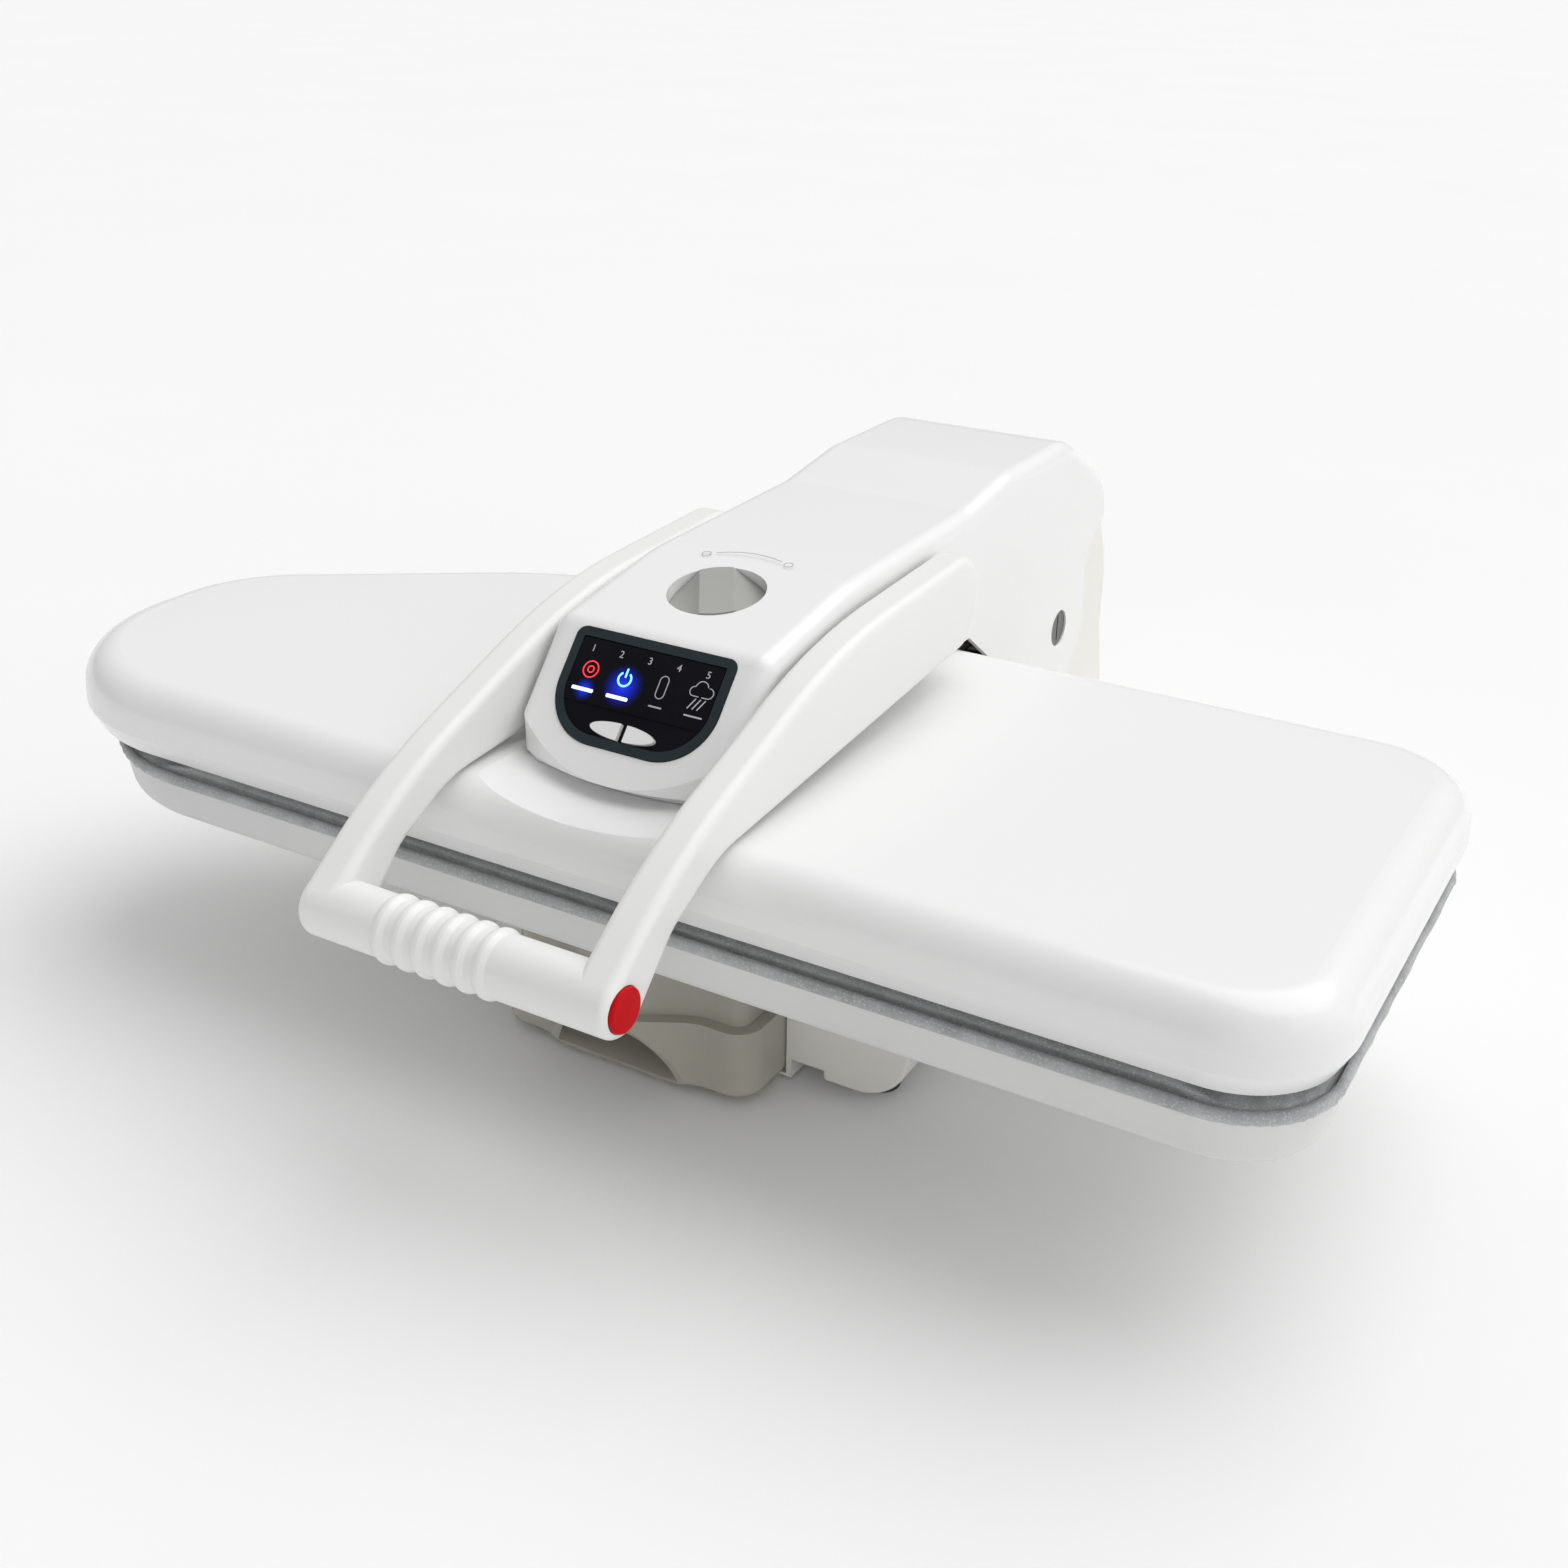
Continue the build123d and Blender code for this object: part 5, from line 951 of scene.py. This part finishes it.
@dataclass
class PanelFace:
    """Marks and lights of the control panel, on the hood's sloping front.

    Attributes:
        origin: middle of the panel's lower edge.
        slope: the panel's angle above the level, in radians.
        proud: how far the marks stand over the display.
        thick: thickness of a mark.
        halo_thick_share: thickness of a halo, as a share of a mark's.
        halo_sides: sides of a halo's disc.
        corner_share: rounding of a bar's corners, as a share of its width.
        corner_steps: segments of such a corner.
        type_steps: segments of a number's curves.
        level: height of the display's face over the panel's plane.
    """

    origin: tuple[float, float, float] = (ARM_X, -0.176, 0.154)
    slope: float = math.radians(49.3858)
    proud: float = 0.00004
    thick: float = 0.00012
    halo_thick_share: float = 0.25
    halo_sides: int = 48
    corner_share: float = 0.3
    corner_steps: int = 2
    type_steps: int = 3
    level: float = field(init=False)

    def __post_init__(self) -> None:
        """Finds the height of the display's face over the panel's plane."""
        start, lens = Vector(self.origin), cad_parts["display_lens"].data
        self.level = max((vert.co - start).dot(self.normal()) for vert in lens.vertices)

    def normal(self) -> Vector:
        """Gives the direction that the panel faces."""
        return Vector((0, -math.sin(self.slope), math.cos(self.slope)))

    def place(self) -> Matrix:
        """Finds where the marks lie.

        Returns:
            The transform from the panel's plane, in metres, to the frame.
        """
        up = Vector((0, math.cos(self.slope), math.sin(self.slope)))
        base = Matrix((Vector((1, 0, 0)), up, self.normal())).transposed().to_4x4()
        return Matrix.Translation(Vector(self.origin) + self.normal() * (self.level + self.proud)) @ base

    def bar(self, bm: BMesh, u: float, v: float, long: float, wide: float, turn: float) -> None:
        """Adds a flat bar with rounded corners.

        Args:
            bm: the mesh that it is added to.
            u: middle, across the panel.
            v: middle, up the panel.
            long: full length.
            wide: full width.
            turn: angle of its length from across, in degrees.
        """
        matrix = Matrix.Translation((u, v, 0)) @ Matrix.Rotation(math.radians(turn), 4, "Z") \
            @ Matrix.Diagonal((long, wide, 1, 1))
        verts = bmesh.ops.create_grid(bm, x_segments=1, y_segments=1, size=0.5, matrix=matrix)["verts"]
        bmesh.ops.bevel(bm, geom=verts, offset=self.corner_share * wide, segments=self.corner_steps,
                        profile=0.5, affect="VERTICES", material=-1)

    def number(self, bm: BMesh, text: str, u: float, v: float, size: float) -> None:
        """Adds a plain number.

        Args:
            bm: the mesh that it is added to.
            text: the number.
            u: middle, across the panel.
            v: middle, up the panel.
            size: height of the type.
        """
        curve = bpy.data.curves.new("number", "FONT")
        curve.body = text
        curve.align_x = "CENTER"
        curve.align_y = "CENTER"
        curve.size = size
        curve.resolution_u = self.type_steps
        holder = bpy.data.objects.new("number", curve)
        flat = bpy.data.meshes.new_from_object(holder)
        bpy.data.objects.remove(holder)
        flat.transform(Matrix.Translation((u, v, 0)))
        bm.from_mesh(flat)
        bpy.data.meshes.remove(flat)

    def mark(self, name: str, bm: BMesh, finish: str) -> None:
        """Gives flat marks their thickness and puts them on the display.

        Args:
            name: the piece's name.
            bm: the marks, drawn on the panel's plane.
            finish: name of the finish.
        """
        bmesh.ops.remove_doubles(bm, verts=bm.verts, dist=WELD)
        bmesh.ops.recalc_face_normals(bm, faces=bm.faces)
        raise_faces(bm, self.thick)
        bmesh.ops.transform(bm, matrix=self.place(), verts=bm.verts)
        new_piece(name, bm, finish, "head", smooth=False)

    def halo(self, name: str, u: float, v: float, radius: float) -> None:
        """Lays a disc of fading glow under a lit mark.

        Args:
            name: the piece's name.
            u: middle, across the panel.
            v: middle, up the panel.
            radius: radius of the disc.
        """
        bm = bmesh.new()
        bmesh.ops.create_circle(bm, cap_ends=True, segments=self.halo_sides, radius=radius,
                                matrix=Matrix.Translation((u, v, -self.proud / 2)))
        raise_faces(bm, self.halo_thick_share * self.thick)
        layer = bm.loops.layers.uv.new("disc")
        for face in bm.faces:
            for loop in face.loops:
                away = loop.vert.co - Vector((u, v, 0))
                loop[layer].uv = [(1 + share / radius) / 2 for share in (away.x, away.y)]
        bmesh.ops.transform(bm, matrix=self.place(), verts=bm.verts)
        new_piece(name, bm, "halo_blue", "head", smooth=False)

    def build(self) -> None:
        """Builds the display's lights, outlines and numbers."""
        for name, u, v, radius in HALOS:
            self.halo(name, u * MM, v * MM, radius * MM)
        for sign in SIGNS:
            bm = bmesh.new()
            for u, v, outer, inner, start, sweep in sign.rings:
                flat_ring(bm, u * MM, v * MM, outer * MM, inner * MM, start, sweep)
            for u, v, long, wide, turn in sign.bars:
                self.bar(bm, u * MM, v * MM, long * MM, wide * MM, turn)
            for text, u, v, size in sign.numbers:
                self.number(bm, text, u * MM, v * MM, size * MM)
            self.mark(sign.name, bm, sign.finish)


@dataclass
class KnobMarks:
    """Printed arc between two small ovals behind the lock knob.

    Attributes:
        centre: middle of the knob's face.
        slope: slope of the hood's roof there, in radians.
        radius: radius of the arc.
        width: width of the printed line.
        arc: start and sweep of the arc, in degrees.
        oval_angles: where the ovals stand, in degrees.
        oval_out: how far they stand outside the arc's radius.
        oval_radii: outer and inner radius of an oval.
        proud: how far the print stands over the hood.
        thick: thickness of the print.
    """

    centre: tuple[float, float, float] = (ARM_X, -0.087, 0.213915)
    slope: float = math.asin(0.166762)
    radius: float = 0.0375
    width: float = 0.0005
    arc: tuple[float, float] = (70.0, 52.0)
    oval_angles: tuple[float, float] = (63.0, 129.0)
    oval_out: float = 0.0005
    oval_radii: tuple[float, float] = (0.0023, 0.0019)
    proud: float = 0.00004
    thick: float = 0.00008

    def build(self) -> None:
        """Builds the marks as one thin printed piece."""
        bm = bmesh.new()
        flat_ring(bm, 0, 0, self.radius + self.width, self.radius, *self.arc)
        for angle in self.oval_angles:
            middle = Matrix.Rotation(math.radians(angle), 2) @ Vector((self.radius + self.oval_out, 0))
            flat_ring(bm, middle.x, middle.y, *self.oval_radii, 0.0, FULL_TURN)
        bmesh.ops.remove_doubles(bm, verts=bm.verts, dist=WELD)
        raise_faces(bm, self.thick)
        place = Matrix.Translation(self.centre) @ Matrix.Rotation(self.slope, 4, "X") \
            @ Matrix.Translation((0, 0, self.proud))
        bmesh.ops.transform(bm, matrix=place, verts=bm.verts)
        new_piece("knob_marks", bm, "mark_grey", "head", smooth=False)


@dataclass
class Studio:
    """Pale floor, soft light and the camera at the photograph's angle.

    Attributes:
        azimuth: camera's angle round the press from the front, in degrees.
        elevation: its angle above the level, in degrees.
        roll: its turn about its own axis, in degrees.
        position: where it stands, in metres.
        focal_pixels: focal length in pixels of the photograph.
        picture_pixels: side of the photograph in pixels.
        sensor: width of the sensor in millimetres.
        sight: how far the camera sees, in metres.
        horizon: the sky's colour at the horizon.
        zenith: its colour overhead.
        sky_heights: where on the sky, from nadir to zenith, the two colours lie.
        sky_strengths: the sky's strength towards the front and towards the back.
        suns: name, strength, angular size and turn of each soft sun, the angles in degrees.
        floor_half: half the floor's side, in metres.
        floor_cells: squares along its side.
    """

    azimuth: float = 30.0
    elevation: float = 25.5
    roll: float = 1.0
    position: tuple[float, float, float] = (0.4197, -0.727, 0.4807)
    focal_pixels: float = 1800.0
    picture_pixels: float = 1568.0
    sensor: float = 36.0
    sight: float = 200.0
    horizon: tuple[float, float, float] = (0.42, 0.42, 0.415)
    zenith: tuple[float, float, float] = (1.0, 1.0, 1.0)
    sky_heights: tuple[float, float] = (0.5, 0.9)
    sky_strengths: tuple[float, float] = (0.35, 1.0)
    suns: tuple[tuple[str, float, float, tuple[float, float, float]], ...] = (
        ("key", 1.28, 60.0, (28.0, 0.0, 150.0)),
        ("side", 0.5, 70.0, (76.0, 0.0, 98.0)),
        ("low", 0.5, 60.0, (82.0, 0.0, 30.0)))
    floor_half: float = 40.0
    floor_cells: int = 8

    def camera(self) -> None:
        """Sets up the camera."""
        turn, lift, roll = (math.radians(angle) for angle in (self.azimuth, self.elevation, self.roll))
        back = Vector((math.sin(turn) * math.cos(lift), -math.cos(turn) * math.cos(lift), math.sin(lift)))
        right = Vector((0, 0, 1)).cross(back).normalized()
        up = back.cross(right)
        across = right * math.cos(roll) + up * math.sin(roll)
        rise = up * math.cos(roll) - right * math.sin(roll)
        data = bpy.data.cameras.new("photo_view")
        data.sensor_fit = "HORIZONTAL"
        data.sensor_width = self.sensor
        data.lens = self.sensor * self.focal_pixels / self.picture_pixels
        data.clip_end = self.sight
        camera = put_in_scene("photo_view", data)
        camera.matrix_world = Matrix.Translation(self.position) \
            @ Matrix((across, rise, back)).transposed().to_4x4()
        bpy.context.scene.camera = camera

    def light(self) -> None:
        """Sets up the sky, brighter behind the press, and three soft suns."""
        world = bpy.data.worlds.new("studio")
        bpy.context.scene.world = world
        world.use_nodes = True
        sheet = NodeSheet(world.node_tree)
        place = sheet.add("ShaderNodeTexCoord").outputs["Generated"]
        way = sheet.add("ShaderNodeSeparateXYZ", Vector=place)
        ramp = sheet.add("ShaderNodeValToRGB")
        sheet.feed(ramp.inputs[0], sheet.ranged(way.outputs["Z"], From_Min=-1.0))
        colours = (self.horizon, self.zenith)
        for stop, height, colour in zip(ramp.color_ramp.elements, self.sky_heights, colours):
            stop.position = height
            stop.color = rgba(colour)
        sky = next(node for node in sheet.tree.nodes if node.type == "BACKGROUND")
        front, back = self.sky_strengths
        sheet.plug(sky, Color=ramp.outputs[0],
                   Strength=sheet.ranged(way.outputs["Y"], From_Min=-1.0, To_Min=front, To_Max=back))
        for name, strength, soft, turn in self.suns:
            sun = bpy.data.lights.new(name, "SUN")
            sun.energy = strength
            sun.angle = math.radians(soft)
            put_in_scene(name, sun).rotation_euler = [math.radians(angle) for angle in turn]

    def floor(self) -> None:
        """Lays the plain pale floor."""
        bm = bmesh.new()
        bmesh.ops.create_grid(bm, x_segments=self.floor_cells, y_segments=self.floor_cells,
                              size=self.floor_half)
        mesh = bpy.data.meshes.new("studio_floor")
        bm.to_mesh(mesh)
        bm.free()
        floor = put_in_scene("studio_floor", mesh)
        mesh.materials.append(PALETTE.get("floor_paper"))

    def build(self) -> None:
        """Builds the whole studio."""
        self.camera()
        self.light()
        self.floor()
        bpy.context.scene.view_settings.view_transform = "Standard"


def main() -> None:
    """Builds the scene."""
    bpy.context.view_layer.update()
    Studio().build()
    log.info("studio ready")
    PALETTE.dress_nodes()
    log.info("CAD nodes dressed")
    PaddedBoard().build()
    LiftSprings().build()
    PanelFace().build()
    KnobMarks().build()


if __name__ == "__main__":
    main()
